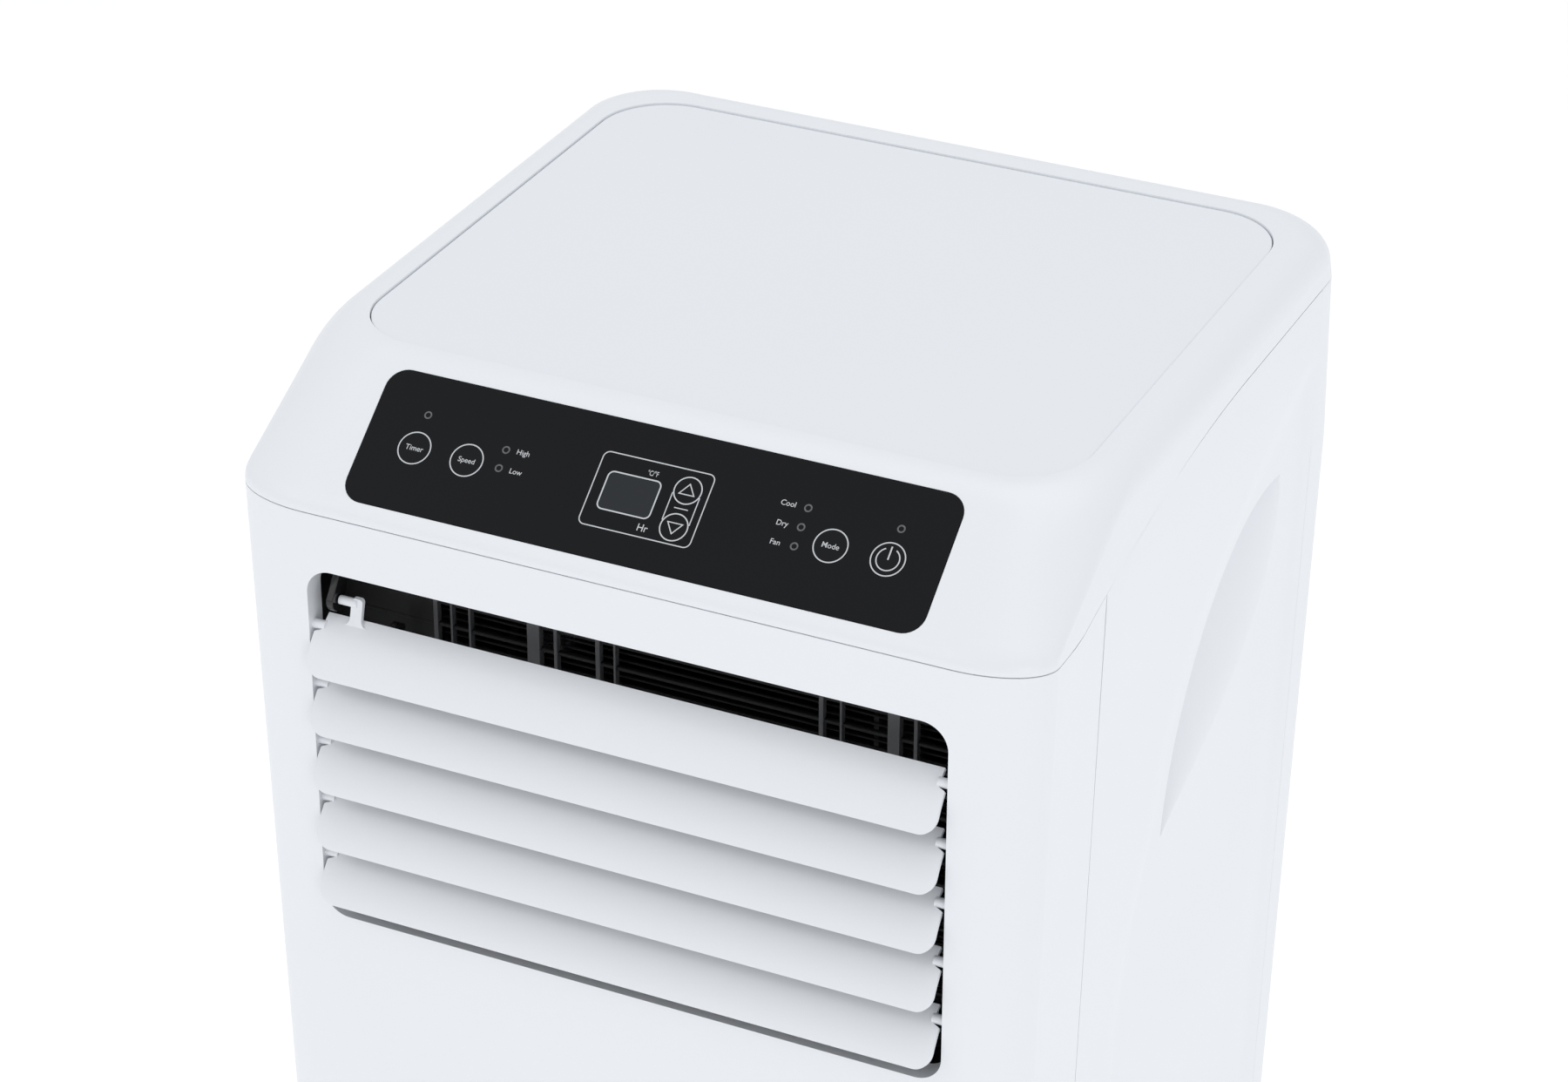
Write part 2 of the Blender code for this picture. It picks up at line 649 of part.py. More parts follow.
def make_front_panel():
    depths = (-0.05, FRONT_SPLIT - PANEL_GAP / 2)
    panel = casing_piece("front_panel", WHITE, depths, BASE_TOP_Z + PANEL_GAP / 2)
    reveal = across_up_mesh(
        "outlet_reveal", [outlet_outline(REVEAL_WALL)], WALL / 2, REVEAL_DEPTH
    )
    opening = across_up_mesh("outlet_opening", [outlet_outline(0.0)], -0.02, 0.03)
    reach = OUTLET_HALF_WIDTH + REVEAL_WALL + 0.002
    across = Vector((reach, 0, 0))
    rods = [
        (pivot(i) - across, pivot(i) + across, PIN_RADIUS + PIN_CLEARANCE) for i in range(LOUVRE_COUNT)
    ]
    bearings = rod_mesh("louvre_bearings", rods)
    join(panel, helper("outlet_reveal", reveal))
    return cut(panel, helper("outlet_opening", opening), helper("louvre_bearings", bearings))


# ---------------------------------------------------------------- louvres
def louvre_point(x, along):
    """A point of the blade's middle surface, from its pivot."""
    return Vector((x, *louvre_section(along)))


def louvre_mesh(name):
    """The blade: a flat outline with round lower corners, bent to its bow, then given its thickness."""
    head, tail, wide = LOUVRE_HEAD_HALF_WIDTH, LOUVRE_TAIL, LOUVRE_TAIL_HALF_WIDTH
    r = LOUVRE_CORNER
    outline = [(-head, -LOUVRE_HEAD), (-head, 0.002)]
    outline += [(-wide, 0.006)]
    outline += arc((-wide + r, tail - r), (r, r), 180, 90, 4)
    outline += arc((wide - r, tail - r), (r, r), 90, 0, 4)
    outline += [(wide, 0.006), (head, 0.002), (head, -LOUVRE_HEAD)]
    form = bmesh.new()
    form.faces.new([form.verts.new((x, y, 0)) for x, y in outline])
    for i in range(1, LOUVRE_STRIPS):
        level = -LOUVRE_HEAD + (tail + LOUVRE_HEAD) * i / LOUVRE_STRIPS
        everything = form.verts[:] + form.edges[:] + form.faces[:]
        bmesh.ops.bisect_plane(form, geom=everything, plane_co=(0, level, 0), plane_no=(0, 1, 0))
    bmesh.ops.triangulate(form, faces=form.faces)
    for vert in form.verts:
        vert.co = louvre_point(vert.co.x, vert.co.y)
    mesh = bpy.data.meshes.new(name)
    form.to_mesh(mesh)
    form.free()
    return mesh


def make_louvre(index):
    name = f"louvre_{index + 1}"
    blade = add(name, louvre_mesh(name), WHITE, at=pivot(index))
    solid = blade.modifiers.new("Solidify", "SOLIDIFY")
    solid.thickness = LOUVRE_THICKNESS
    solid.offset = 0.0
    reach = OUTLET_HALF_WIDTH + REVEAL_WALL - SEAT_GAP
    inner = LOUVRE_HEAD_HALF_WIDTH - 0.006
    rods = [
        ((side * inner, 0, 0), (side * reach, 0, 0), PIN_RADIUS)
        for side in (-1, 1)
    ]
    ends = helper(name + "_pins", rod_mesh(name + "_pins", rods), at=pivot(index))
    join(blade, ends)
    half = LINK_THICKNESS / 2
    arm = flat_mesh(
        name + "_arm",
        [
            arc((LINK_ARM, 0), (0.0024, 0.0024), -90, 90, 8)
            + arc((0, 0), (0.0024, 0.0024), 90, 270, 8)
        ],
        LINK_X + half + SEAT_GAP,
        LINK_X + half + SEAT_GAP + 0.002,
    )
    arm.transform(BACK_UP)
    join(blade, helper(name + "_arm", arm, at=pivot(index)))
    pin = rod_mesh(
        name + "_link_pin",
        [((LINK_X - half - 0.001, LINK_ARM, 0), (LINK_X + half + 0.001, LINK_ARM, 0), LINK_PIN_RADIUS)],
        12,
    )
    join(blade, helper(name + "_link_pin", pin, at=pivot(index)))
    return blade


def tab_top():
    """The crank pin on the top louvre, from its pivot: depth and height."""
    back = math.sin(LOUVRE_REST_ANGLE) * LOUVRE_HEAD
    up = math.cos(LOUVRE_REST_ANGLE) * LOUVRE_HEAD
    return back + 0.0010, up + TAB_RISE * 0.62


def make_top_louvre_tab(blade):
    """The upright tab near the left end of the top louvre, with the pin that the crank moves."""
    depth, height = tab_top()
    root_depth, root_height = math.sin(LOUVRE_REST_ANGLE) * 0.003, math.cos(LOUVRE_REST_ANGLE) * 0.003
    half = 0.0010
    outline = [
        (root_depth - half, root_height),
        (root_depth + half, root_height - half),
        (depth + half, height + 0.0022),
        (depth - half, height + 0.0022),
    ]
    tab = flat_mesh("tab", [outline], TAB_X - TAB_WIDTH / 2, TAB_X + TAB_WIDTH / 2)
    tab.transform(BACK_UP)
    left = CRANK_X + CRANK_THICKNESS / 2 + 0.0006
    pin = rod_mesh("tab_pin", [((left, depth, height), (TAB_X, depth, height), 0.0017)])
    join(blade, helper("tab", tab, at=pivot(0)), helper("tab_pin", pin, at=pivot(0)))


def make_link():
    """The bar that ties the louvres together, in its own place from the first louvre's link pin."""
    half = LINK_THICKNESS / 2
    length = LOUVRE_PITCH * (LOUVRE_COUNT - 1)
    outline = arc((0, 0), (LINK_WIDTH / 2, LINK_WIDTH / 2), 0, 180, 6)
    outline += arc((0, -length), (LINK_WIDTH / 2, LINK_WIDTH / 2), 180, 360, 6)
    holes = [
        circle((0, -LOUVRE_PITCH * i), LINK_PIN_RADIUS + PIN_CLEARANCE, 12) for i in range(LOUVRE_COUNT)
    ]
    mesh = flat_mesh("louvre_link", [outline] + holes, LINK_X - half, LINK_X + half)
    mesh.transform(BACK_UP)
    return add("louvre_link", mesh, INNER_BLACK, at=pivot(0) + Vector((0, LINK_ARM, 0)))


def make_crank():
    """The black drop-shaped arm beside the top louvre, turned by the motor above the outlet."""
    depth, height = tab_top()
    end = (LOUVRE_PIVOT[0] + depth - CRANK_AXIS[0], LOUVRE_PIVOT[1] + height - CRANK_AXIS[1])
    away = math.degrees(math.atan2(end[1], end[0]))
    wide, narrow = 0.0050, 0.0030
    outline = arc(end, (wide, wide), away - 80, away + 80, 8)
    outline += arc((0, 0), (narrow, narrow), away + 95, away + 265, 8)
    hole = circle((0, 0), PIN_RADIUS + PIN_CLEARANCE, 12)
    mesh = flat_mesh(
        "louvre_crank", [outline, hole], CRANK_X - CRANK_THICKNESS / 2, CRANK_X + CRANK_THICKNESS / 2
    )
    mesh.transform(BACK_UP)
    return add("louvre_crank", mesh, INNER_BLACK, at=place(0, *CRANK_AXIS))


def make_louvre_motor():
    """The small geared motor that turns the crank, outside the reveal's left wall."""
    centre = place(0, *CRANK_AXIS)
    body_right = -(OUTLET_HALF_WIDTH + REVEAL_WALL + 0.0015)
    middle = centre.y + MOTOR_SHAFT_OFFSET
    body = rod_mesh(
        "louvre_motor",
        [((body_right - 0.016, middle, centre.z), (body_right, middle, centre.z), 0.010)],
        24,
    )
    motor = add("louvre_motor", body, STEEL)
    shaft_end = CRANK_X + CRANK_THICKNESS / 2 + 0.0003
    shaft = rod_mesh(
        "motor_shaft",
        [((body_right - 0.001, centre.y, centre.z), (shaft_end, centre.y, centre.z), PIN_RADIUS)],
    )
    return join(motor, helper("motor_shaft", shaft))


def make_outlet_grille():
    """The black guard behind the louvres: a frame with upright ribs and level slats."""
    half = OUTLET_HALF_WIDTH + REVEAL_WALL
    low, high = SEAM_Z + OUTLET_BOTTOM - REVEAL_WALL, SEAM_Z + OUTLET_TOP + REVEAL_WALL
    border = 0.005
    uprights = [-half + border] + list(GRILLE_RIBS) + [half - border]
    step = (high - low - 2 * border + GRILLE_BAR) / (GRILLE_SLATS + 1)
    holes = []
    for first, last in zip(uprights, uprights[1:]):
        left = first + (0 if first == uprights[0] else GRILLE_BAR / 2)
        right = last - (0 if last == uprights[-1] else GRILLE_BAR / 2)
        for i in range(GRILLE_SLATS + 1):
            bottom = low + border + step * i
            top = bottom + step - GRILLE_BAR
            holes.append([(left, bottom), (right, bottom), (right, top), (left, top)])
    frame = [(-half, low), (half, low), (half, high), (-half, high)]
    mesh = across_up_mesh("outlet_grille", [frame] + holes, *GRILLE_DEPTHS)
    return add("outlet_grille", mesh, INNER_BLACK)


# ---------------------------------------------------------------- side panels
def grip_outline(grow):
    """The leaf-shaped grip in the side panel, as world Y and Z."""
    points = cubic(GRIP_TIP, *GRIP_EDGE, GRIP_TAIL, 10) + cubic(GRIP_TAIL, *GRIP_SOFT, GRIP_TIP, 10)
    middle = [(GRIP_TIP[k] + GRIP_TAIL[k]) / 2 for k in (0, 1)]
    made = []
    for point in points:
        away = Vector((point[0] - middle[0], point[1] - middle[1]))
        away *= 1 + grow / away.length
        made.append((FRONT_Y + middle[0] + away.x, SEAM_Z + middle[1] + away.y))
    return made


def make_side_panel(name, side):
    inside, outside = 0.05 * side, FAR * side
    xs = (min(inside, outside), max(inside, outside))
    depths = (FRONT_SPLIT + PANEL_GAP / 2, REAR_SPLIT - PANEL_GAP / 2)
    panel = casing_piece(name, WHITE, depths, BASE_TOP_Z + PANEL_GAP / 2, xs)
    face = BODY_WIDTH / 2 + GRIP_TAIL[1] * math.tan(SIDE_TAPER)
    floor = BODY_WIDTH / 2 - GRIP_DEPTH
    spans = {
        "cup": (0.0025, floor - 0.0025, face - WALL / 2),
        "pocket": (0.0, floor, FAR),
    }
    made = {}
    for kind, (grow, low, high) in spans.items():
        ends = sorted((side * low, side * high))
        mesh = back_up_mesh(f"{name}_{kind}", [grip_outline(grow)], *ends)
        made[kind] = helper(f"{name}_{kind}", mesh)
    join(panel, made["cup"])
    return cut(panel, made["pocket"])


# ---------------------------------------------------------------- rear panel and what is on it
def rear_depth(z):
    """Depth of the rear face at a height above the floor."""
    return BODY_DEPTH + min(z - SEAM_Z, 0.0) * math.tan(REAR_TAPER)


REAR_NORMAL = (0, math.cos(REAR_TAPER), -math.sin(REAR_TAPER))


def grown(opening, by):
    (x0, z0), (x1, z1) = opening
    return (x0 - by, z0 - by), (x1 + by, z1 + by)


def make_rear_panel():
    depths = (REAR_SPLIT + PANEL_GAP / 2, BODY_DEPTH + 0.05)
    panel = casing_piece("rear_panel", WHITE, depths, BASE_TOP_Z + PANEL_GAP / 2)
    outlines = [rounded(*opening, OPENING_CORNER, 3) for opening in (UPPER_OPENING, LOWER_OPENING)]
    collar_hole = COLLAR_BORE + COLLAR_WALL + SEAT_GAP + PANEL_GAP
    outlines.append(circle((0, COLLAR_HEIGHT), collar_hole, ROUND_STEPS))
    outlines.append(circle(DRAIN_CAP_PLACE, DRAIN_RADIUS + SEAT_GAP))
    outlines.append(circle(GLAND_PLACE, GLAND_RADIUS + SEAT_GAP))
    holes = across_up_mesh("rear_holes", outlines, REAR_SPLIT + 0.01, BODY_DEPTH + 0.02)
    return cut(panel, helper("rear_holes", holes))


def grille_mesh(name, opening, depths, bars):
    """A louvred intake: a frame with level bars and one upright in the middle."""
    (x0, z0), (x1, z1) = opening
    border, bar = 0.007, 0.004
    step = (z1 - z0 - 2 * border + bar) / (bars + 1)
    holes = []
    for left, right in ((x0 + border, -bar / 2), (bar / 2, x1 - border)):
        for i in range(bars + 1):
            low = z0 + border + step * i
            high = low + step - bar
            holes.append([(left, low), (right, low), (right, high), (left, high)])
    return across_up_mesh(name, [rounded(*opening, OPENING_CORNER - 0.001, 3)] + holes, *depths)


def make_intakes():
    """The upper cover with its filter, which pull off backwards, and the fixed lower grille."""
    upper_face = rear_depth(UPPER_OPENING[0][1])
    upper = grown(UPPER_OPENING, -PANEL_GAP)
    cover = grille_mesh("filter_cover", upper, (upper_face - 0.005, upper_face - 0.0005), INTAKE_BARS)
    add("filter_cover", cover, WHITE)
    (x0, z0), (x1, z1) = grown(upper, -0.0015)
    back = upper_face - 0.005 - SEAT_GAP
    frame = [(x0, z0), (x1, z0), (x1, z1), (x0, z1)]
    border, bar, columns, rows = 0.006, 0.0016, 4, 3
    wide = (x1 - x0 - 2 * border + bar) / columns
    tall = (z1 - z0 - 2 * border + bar) / rows
    web_low, web_high = back - FILTER_THICKNESS / 2 - 0.0004, back - FILTER_THICKNESS / 2 + 0.0004
    holes = []
    for i in range(columns):
        for j in range(rows):
            a, b = x0 + border + wide * i, z0 + border + tall * j
            c, d = a + wide - bar, b + tall - bar
            holes.append([(a, b), (c, b), (c, d), (a, d)])
    mesh = across_up_mesh("air_filter", [frame] + holes, back - FILTER_THICKNESS, back)
    filter_ = add("air_filter", mesh, FILTER)
    inset = 0.002
    sheet = [
        (x0 + inset, z0 + inset),
        (x1 - inset, z0 + inset),
        (x1 - inset, z1 - inset),
        (x0 + inset, z1 - inset),
    ]
    web = across_up_mesh("filter_web", [sheet], web_low, web_high)
    join(filter_, helper("filter_web", web))
    lower_face = rear_depth(LOWER_OPENING[0][1])
    depths = (lower_face - 0.005, lower_face - 0.0005)
    lower = grille_mesh("lower_intake_grille", grown(LOWER_OPENING, -PANEL_GAP), depths, INTAKE_BARS)
    add("lower_intake_grille", lower, WHITE)


def make_exhaust_collar():
    face = rear_depth(COLLAR_HEIGHT)
    inner, outer = COLLAR_BORE, COLLAR_BORE + COLLAR_WALL
    out = 0.0018
    profile = [
        (COLLAR_FLANGE, out),
        (COLLAR_FLANGE, SEAT_GAP + 0.0002),
        (outer, SEAT_GAP + 0.0002),
        (outer, -COLLAR_LENGTH),
        (inner, -COLLAR_LENGTH),
        (inner, out),
    ]
    at = from_floor(0, face, COLLAR_HEIGHT)
    return turned("exhaust_collar", profile, GREY, at, REAR_NORMAL)


def plug_profile(radius, flange, length):
    """A headed plug: head outside the panel, shank through it."""
    return [
        (0, 0.0022),
        (flange, 0.0022),
        (flange, SEAT_GAP + 0.0002),
        (radius - 0.0003, SEAT_GAP + 0.0002),
        (radius - 0.0003, -length),
        (0, -length),
    ]


def make_drains_and_gland():
    plug = plug_profile(DRAIN_RADIUS, DRAIN_HEAD, DRAIN_LENGTH)
    for name, (x, z), finish in (
        ("drain_cap", DRAIN_CAP_PLACE, GREY),
        ("drain_plug", DRAIN_PLUG_PLACE, RUBBER),
    ):
        turned(name, plug, finish, from_floor(x, rear_depth(z), z), REAR_NORMAL, SMALL_STEPS)
    x, z = GLAND_PLACE
    gland = [
        (0.0040, 0.0022),
        (0.0095, 0.0010),
        (0.0095, SEAT_GAP + 0.0002),
        (GLAND_RADIUS - 0.0003, SEAT_GAP + 0.0002),
        (GLAND_RADIUS - 0.0003, -0.012),
        (0.0040, -0.012),
    ]
    turned("cord_gland", gland, RUBBER, from_floor(x, rear_depth(z), z), REAR_NORMAL, SMALL_STEPS)


# ---------------------------------------------------------------- base and casters
def make_base_pan():
    """The base: a skirt that continues the casing, with a floor that carries the machine and the casters."""
    first, last = -0.05, BODY_DEPTH + 0.05
    high = BASE_TOP_Z - PANEL_GAP / 2
    front, back = FRONT_Y + first, FRONT_Y + last
    zone = [(front, 0.0), (back, 0.0), (back, high), (front, high)]
    pan = add("base_pan", OUTER.data.copy(), GREY)
    boolean(pan, "INTERSECT", helper("base_zone", back_up_mesh("base_zone", [zone], -FAR, FAR)))
    cut(pan, INNER)
    half = BODY_WIDTH / 2 - (SEAM_Z - FLOOR_PLATE[0]) * math.tan(SIDE_TAPER) - WALL / 2
    reach = rear_depth(FLOOR_PLATE[0]) - WALL / 2
    plate = rounded((-half, FRONT_Y + WALL / 2), (half, FRONT_Y + reach), REAR_CORNER)
    join(pan, helper("floor_plate", flat_mesh("floor_plate", [plate], *FLOOR_PLATE)))
    x, z = DRAIN_PLUG_PLACE
    drain = rod_mesh(
        "drain_hole",
        [(from_floor(x, BODY_DEPTH - 0.03, z), from_floor(x, BODY_DEPTH + 0.03, z), DRAIN_RADIUS + SEAT_GAP)],
        24,
    )
    places = [(side * CASTER_X, depth) for side in (-1, 1) for depth in CASTER_DEPTHS]
    rods = [
        (from_floor(x, depth, 0.03), from_floor(x, depth, 0.08), STEM_RADIUS + PIN_CLEARANCE)
        for x, depth in places
    ]
    stems = rod_mesh("stem_holes", rods)
    return cut(pan, helper("drain_hole", drain), helper("stem_holes", stems))


def make_caster(name, x, depth):
    """A swivel caster: a fork that turns in the base, and a wheel behind the swivel axis."""
    radius, width = CASTER_WHEEL
    top = FLOOR_PLATE[0] - 0.0008
    plate_low = top - 0.003
    inner = width / 2 + CASTER_SIDE_GAP
    outer = inner + CASTER_FORK_WALL
    origin = from_floor(x, depth, 0)
    plate = flat_mesh(
        name + "_fork",
        [
            arc((0, 0), (outer, outer), 180, 360, 10)
            + [(outer, CASTER_TRAIL + 0.004), (-outer, CASTER_TRAIL + 0.004)]
        ],
        plate_low,
        top,
    )
    fork = add(name + "_fork", plate, PAINTED, at=origin)
    cheek = arc((CASTER_TRAIL, radius), (0.0055, 0.0055), 180, 360, 8)
    cheek += [(CASTER_TRAIL + 0.004, plate_low + 0.001), (-0.004, plate_low + 0.001)]
    for sign in (-1, 1):
        ends = sorted((sign * inner, sign * outer))
        mesh = back_up_mesh(f"{name}_cheek", [cheek], *ends)
        join(fork, helper(f"{name}_cheek_{sign}", mesh, at=origin))
    rods = [
        ((-inner - 0.001, CASTER_TRAIL, radius), (inner + 0.001, CASTER_TRAIL, radius), AXLE_RADIUS),
    ]
    join(fork, helper(name + "_axle", rod_mesh(name + "_axle", rods), at=origin))
    stem = [((0, 0, plate_low + 0.001), (0, 0, FLOOR_PLATE[1] + 0.004), STEM_RADIUS)]
    join(fork, helper(name + "_stem", rod_mesh(name + "_stem", stem), at=origin))
    half, bore = width / 2, AXLE_RADIUS + PIN_CLEARANCE
    profile = [
        (radius - 0.0012, half),
        (radius, half - 0.0015),
        (radius, -half + 0.0015),
        (radius - 0.0012, -half),
        (bore, -half),
        (bore, half),
    ]
    return turned(
        name + "_wheel", profile, RUBBER, origin + Vector((0, CASTER_TRAIL, radius)), (1, 0, 0)
    )


# ---------------------------------------------------------------- machine inside
def wheel_parts(name, wheel, axis_at):
    """A squirrel-cage blower wheel: two end rings, a hub disc and a ring of blades, on an X axis."""
    radius, length = wheel
    half = length / 2
    ring = radius - 0.011
    at = from_floor(0, *axis_at)
    disc_high = half
    profile = [
        (radius, half),
        (radius, half - 0.003),
        (ring * 0.30, half - 0.003),
        (ring * 0.30, half - 0.020),
        (0.0045, half - 0.020),
        (0.0045, disc_high),
    ]
    wheel_obj = turned(name, profile, INNER_BLACK, at, (1, 0, 0))
    form = bmesh.new()
    for i in range(WHEEL_BLADES):
        turn = Matrix.Rotation(2 * math.pi * i / WHEEL_BLADES, 4, "X")
        lean = Matrix.Rotation(math.radians(35), 4, "X")
        lift = Matrix.Translation((0, 0, radius - 0.0060))
        made = bmesh.ops.create_cube(form, size=1.0)["verts"]
        bmesh.ops.scale(form, vec=(length - 0.002, 0.0012, 0.0100), verts=made)
        bmesh.ops.transform(form, matrix=turn @ lift @ lean, verts=made)
    blades = helper(name + "_blades", finished(form, name + "_blades"), at=at)
    circles = [circle((0, 0), radius, ROUND_STEPS), circle((0, 0), ring, ROUND_STEPS)]
    rim = helper(name + "_rim", back_up_mesh(name + "_rim", circles, -half, -half + 0.004), at=at)
    join(rim, blades)
    return join(wheel_obj, rim)


def scroll_outline(radius, throat_length, throat_height, forward, grow):
    """A volute in Y and Z round the wheel's axis, growing from the cut-off to the throat."""
    turns = 10
    points = []
    for i in range(turns + 1):
        share = i / turns
        angle = math.radians(270 * share)
        r = radius + SCROLL_CLEARANCE + (throat_height - radius - SCROLL_CLEARANCE) * share + grow
        points.append((forward * -r * math.cos(angle), -r * math.sin(angle)))
    end = points[-1]
    points.append((-forward * throat_length, end[1]))
    points.append((-forward * throat_length, points[0][1] - grow))
    return points


def make_scroll(name, wheel, axis_at, throat_length, throat_height, forward):
    """The blower housing: a volute with an inlet hole at each end and a mouth at the throat."""
    radius, length = wheel
    half = length / 2 + 0.004
    at = from_floor(0, *axis_at)
    outer = back_up_mesh(
        name,
        [scroll_outline(radius, throat_length, throat_height, forward, SCROLL_WALL)],
        -half - SCROLL_WALL,
        half + SCROLL_WALL,
    )
    inner = back_up_mesh(
        name + "_inside",
        [scroll_outline(radius, throat_length + 0.01, throat_height, forward, 0.0)],
        -half,
        half,
    )
    inlets = rod_mesh(name + "_inlets", [((-FAR, 0, 0), (FAR, 0, 0), radius - 0.010)], ROUND_STEPS)
    scroll = add(name, outer, INNER_BLACK, at=at)
    return cut(scroll, helper(name + "_inside", inner, at=at), helper(name + "_inlets", inlets, at=at))


def make_motor(name, wheel, axis_at):
    """The blower motor at the right of its wheel, its shaft in the wheel's hub."""
    half = wheel[1] / 2
    at = from_floor(0, *axis_at)
    start = half + 0.004 + SCROLL_WALL + 0.004
    profile = [
        (0, start + MOTOR_LENGTH),
        (MOTOR_RADIUS - 0.004, start + MOTOR_LENGTH),
        (MOTOR_RADIUS, start + MOTOR_LENGTH - 0.004),
        (MOTOR_RADIUS, start + 0.004),
        (MOTOR_RADIUS - 0.004, start),
        (0.0042, start),
        (0.0042, half - 0.018),
        (0, half - 0.018),
    ]
    return turned(name, profile, STEEL, at, (1, 0, 0))


def make_coil(name, low, high, depth):
    """A finned coil: a block of fins with an end plate each side and the return bends of its tubes."""
    half = COIL_WIDTH / 2
    front, back = depth, depth + COIL_THICKNESS
    inset = 0.002
    corners = [from_floor(-half, front + inset, low + inset), from_floor(half, back - inset, high - inset)]
    coil = add(name, box_mesh(name, *corners), ALUMINIUM)
    plates = boxes_mesh(
        name + "_plates",
        [
            (from_floor(side * half - 0.001, front, low), from_floor(side * half + 0.001, back, high))
            for side in (-1, 1)
        ],
    )
    join(coil, helper(name + "_plates", plates))
    count = int((high - low) / 0.030)
    pitch = (high - low) / count
    rods = []
    for side in (-1, 1):
        for i in range(count):
            z = low + pitch * (i + 0.5)
            y = FRONT_Y + front + COIL_THICKNESS / 2
            rods.append(((side * half, y, z), (side * (half + 0.008), y, z), 0.0045))
    return join(coil, helper(name + "_bends", rod_mesh(name + "_bends", rods, 8)))


def make_deck():
    """The deck between the two halves of the machine, with the drip tray under the evaporator coil."""
    half = BODY_WIDTH / 2 - 0.016
    z0 = DECK_HEIGHT
    low, high = FRONT_Y + 0.034, FRONT_Y + BODY_DEPTH - 0.0355
    mesh = box_mesh("drip_tray", (-half, low, z0), (half, high, z0 + DECK_THICKNESS))
    deck = add("drip_tray", mesh, GREY)
    inset, thick = 0.001, 0.003
    front = FRONT_Y + EVAPORATOR_COIL_FRONT - 0.012
    outside = rounded((-half + inset, front), (half - inset, high - inset), TRAY_CORNER, 3)
    grown_in = inset + thick
    inside = rounded(
        (-half + grown_in, front + thick), (half - grown_in, high - grown_in), TRAY_CORNER - thick / 2, 3
    )
    wall = flat_mesh("tray_wall", [outside, inside], z0 + DECK_THICKNESS / 2, z0 + TRAY_RIM)
    return join(deck, helper("tray_wall", wall))


def make_compressor():
    x, depth = COMPRESSOR_PLACE
    base = FLOOR_PLATE[1] + SEAT_GAP
    r, tall = COMPRESSOR_RADIUS, COMPRESSOR_HEIGHT
    profile = [
        (0, tall),
        (r * 0.70, tall),
        (r * 0.90, tall - 0.010),
        (r, tall - 0.026),
        (r, 0.034),
        (r * 0.88, 0.018),
        (r * 0.72, 0.010),
        (r * 1.12, 0.008),
        (r * 1.12, 0.0),
        (0, 0.0),
    ]
    return turned("compressor", profile, PAINTED, from_floor(x, depth, base), (0, 0, 1))


def make_pipe(name, points):
    curve = bpy.data.curves.new(name, "CURVE")
    curve.dimensions = "3D"
    curve.bevel_depth = PIPE_RADIUS
    curve.bevel_resolution = 2
    curve.use_fill_caps = True
    spline = curve.splines.new("POLY")
    spline.points.add(len(points) - 1)
    for point, at in zip(spline.points, points):
        point.co = (*at, 1.0)
    obj = bpy.data.objects.new(name, curve)
    obj.data.materials.append(COPPER)
    PARTS.objects.link(obj)
    return obj


def bent(points, radius, steps=4):
    """A pipe's route with each corner rounded."""
    route = [points[0]]
    for before, corner, after in zip(points, points[1:], points[2:]):
        start = corner + (before - corner).normalized() * radius
        end = corner + (after - corner).normalized() * radius
        for i in range(steps + 1):
            t = i / steps
            route.append(start * (1 - t) ** 2 + corner * 2 * t * (1 - t) + end * t * t)
    return route + [points[-1]]


EVAPORATOR_COIL = (DECK_HEIGHT + DECK_THICKNESS + 0.004, 0.628, EVAPORATOR_COIL_FRONT)  # low, high, front
CONDENSER_COIL = (0.082, LOWER_OPENING[1][1] + 0.010, CONDENSER_COIL_FRONT)


def make_pipes():
    x, depth = COMPRESSOR_PLACE
    top = FLOOR_PLATE[1] + COMPRESSOR_HEIGHT + 2 * SEAT_GAP
    start = from_floor(x + 0.030, depth, top)
    rise = from_floor(x + 0.030, depth, DECK_HEIGHT - 0.020)
    end = from_floor(0.140, EVAPORATOR_COIL_FRONT - 0.012, DECK_HEIGHT - 0.020)
    suction = [start, rise, from_floor(0.140, depth, DECK_HEIGHT - 0.020), end]
    make_pipe("suction_pipe", bent(suction, 0.012))
    start = from_floor(x - 0.030, depth, top)
    over = top + 0.020
    discharge = [
        start,
        from_floor(x - 0.030, depth, over),
        from_floor(-0.140, depth, over),
        from_floor(-0.140, CONDENSER_COIL_FRONT + 0.016, over),
        from_floor(-0.140, CONDENSER_COIL_FRONT + 0.016, CONDENSER_COIL[0] + 0.030),
    ]
    make_pipe("discharge_pipe", bent(discharge, 0.012))


def make_electrical_box():
    low = from_floor(-0.148, 0.075, 0.070)
    high = from_floor(-0.060, 0.200, 0.150)
    return add("electrical_box", box_mesh("electrical_box", low, high), GREY)


# ---------------------------------------------------------------- assembly
make_base_pan()
make_front_panel()
make_side_panel("left_side_panel", -1)
make_side_panel("right_side_panel", 1)
make_rear_panel()
make_top_cover()
make_top_plate()
make_controls()
louvres = [make_louvre(i) for i in range(LOUVRE_COUNT)]
make_top_louvre_tab(louvres[0])
make_link()
make_crank()
make_louvre_motor()
make_outlet_grille()
make_intakes()
make_exhaust_collar()
make_drains_and_gland()
for end, caster_depth in zip(("front", "rear"), CASTER_DEPTHS):
    for hand, sign in (("left", -1), ("right", 1)):
        make_caster(f"{end}_{hand}_caster", sign * CASTER_X, caster_depth)
wheel_parts("evaporator_wheel", EVAPORATOR_WHEEL, EVAPORATOR_AXIS)
make_scroll("evaporator_scroll", EVAPORATOR_WHEEL, EVAPORATOR_AXIS, 0.095, 0.088, 1)
make_motor("evaporator_motor", EVAPORATOR_WHEEL, EVAPORATOR_AXIS)
wheel_parts("condenser_wheel", CONDENSER_WHEEL, CONDENSER_AXIS)
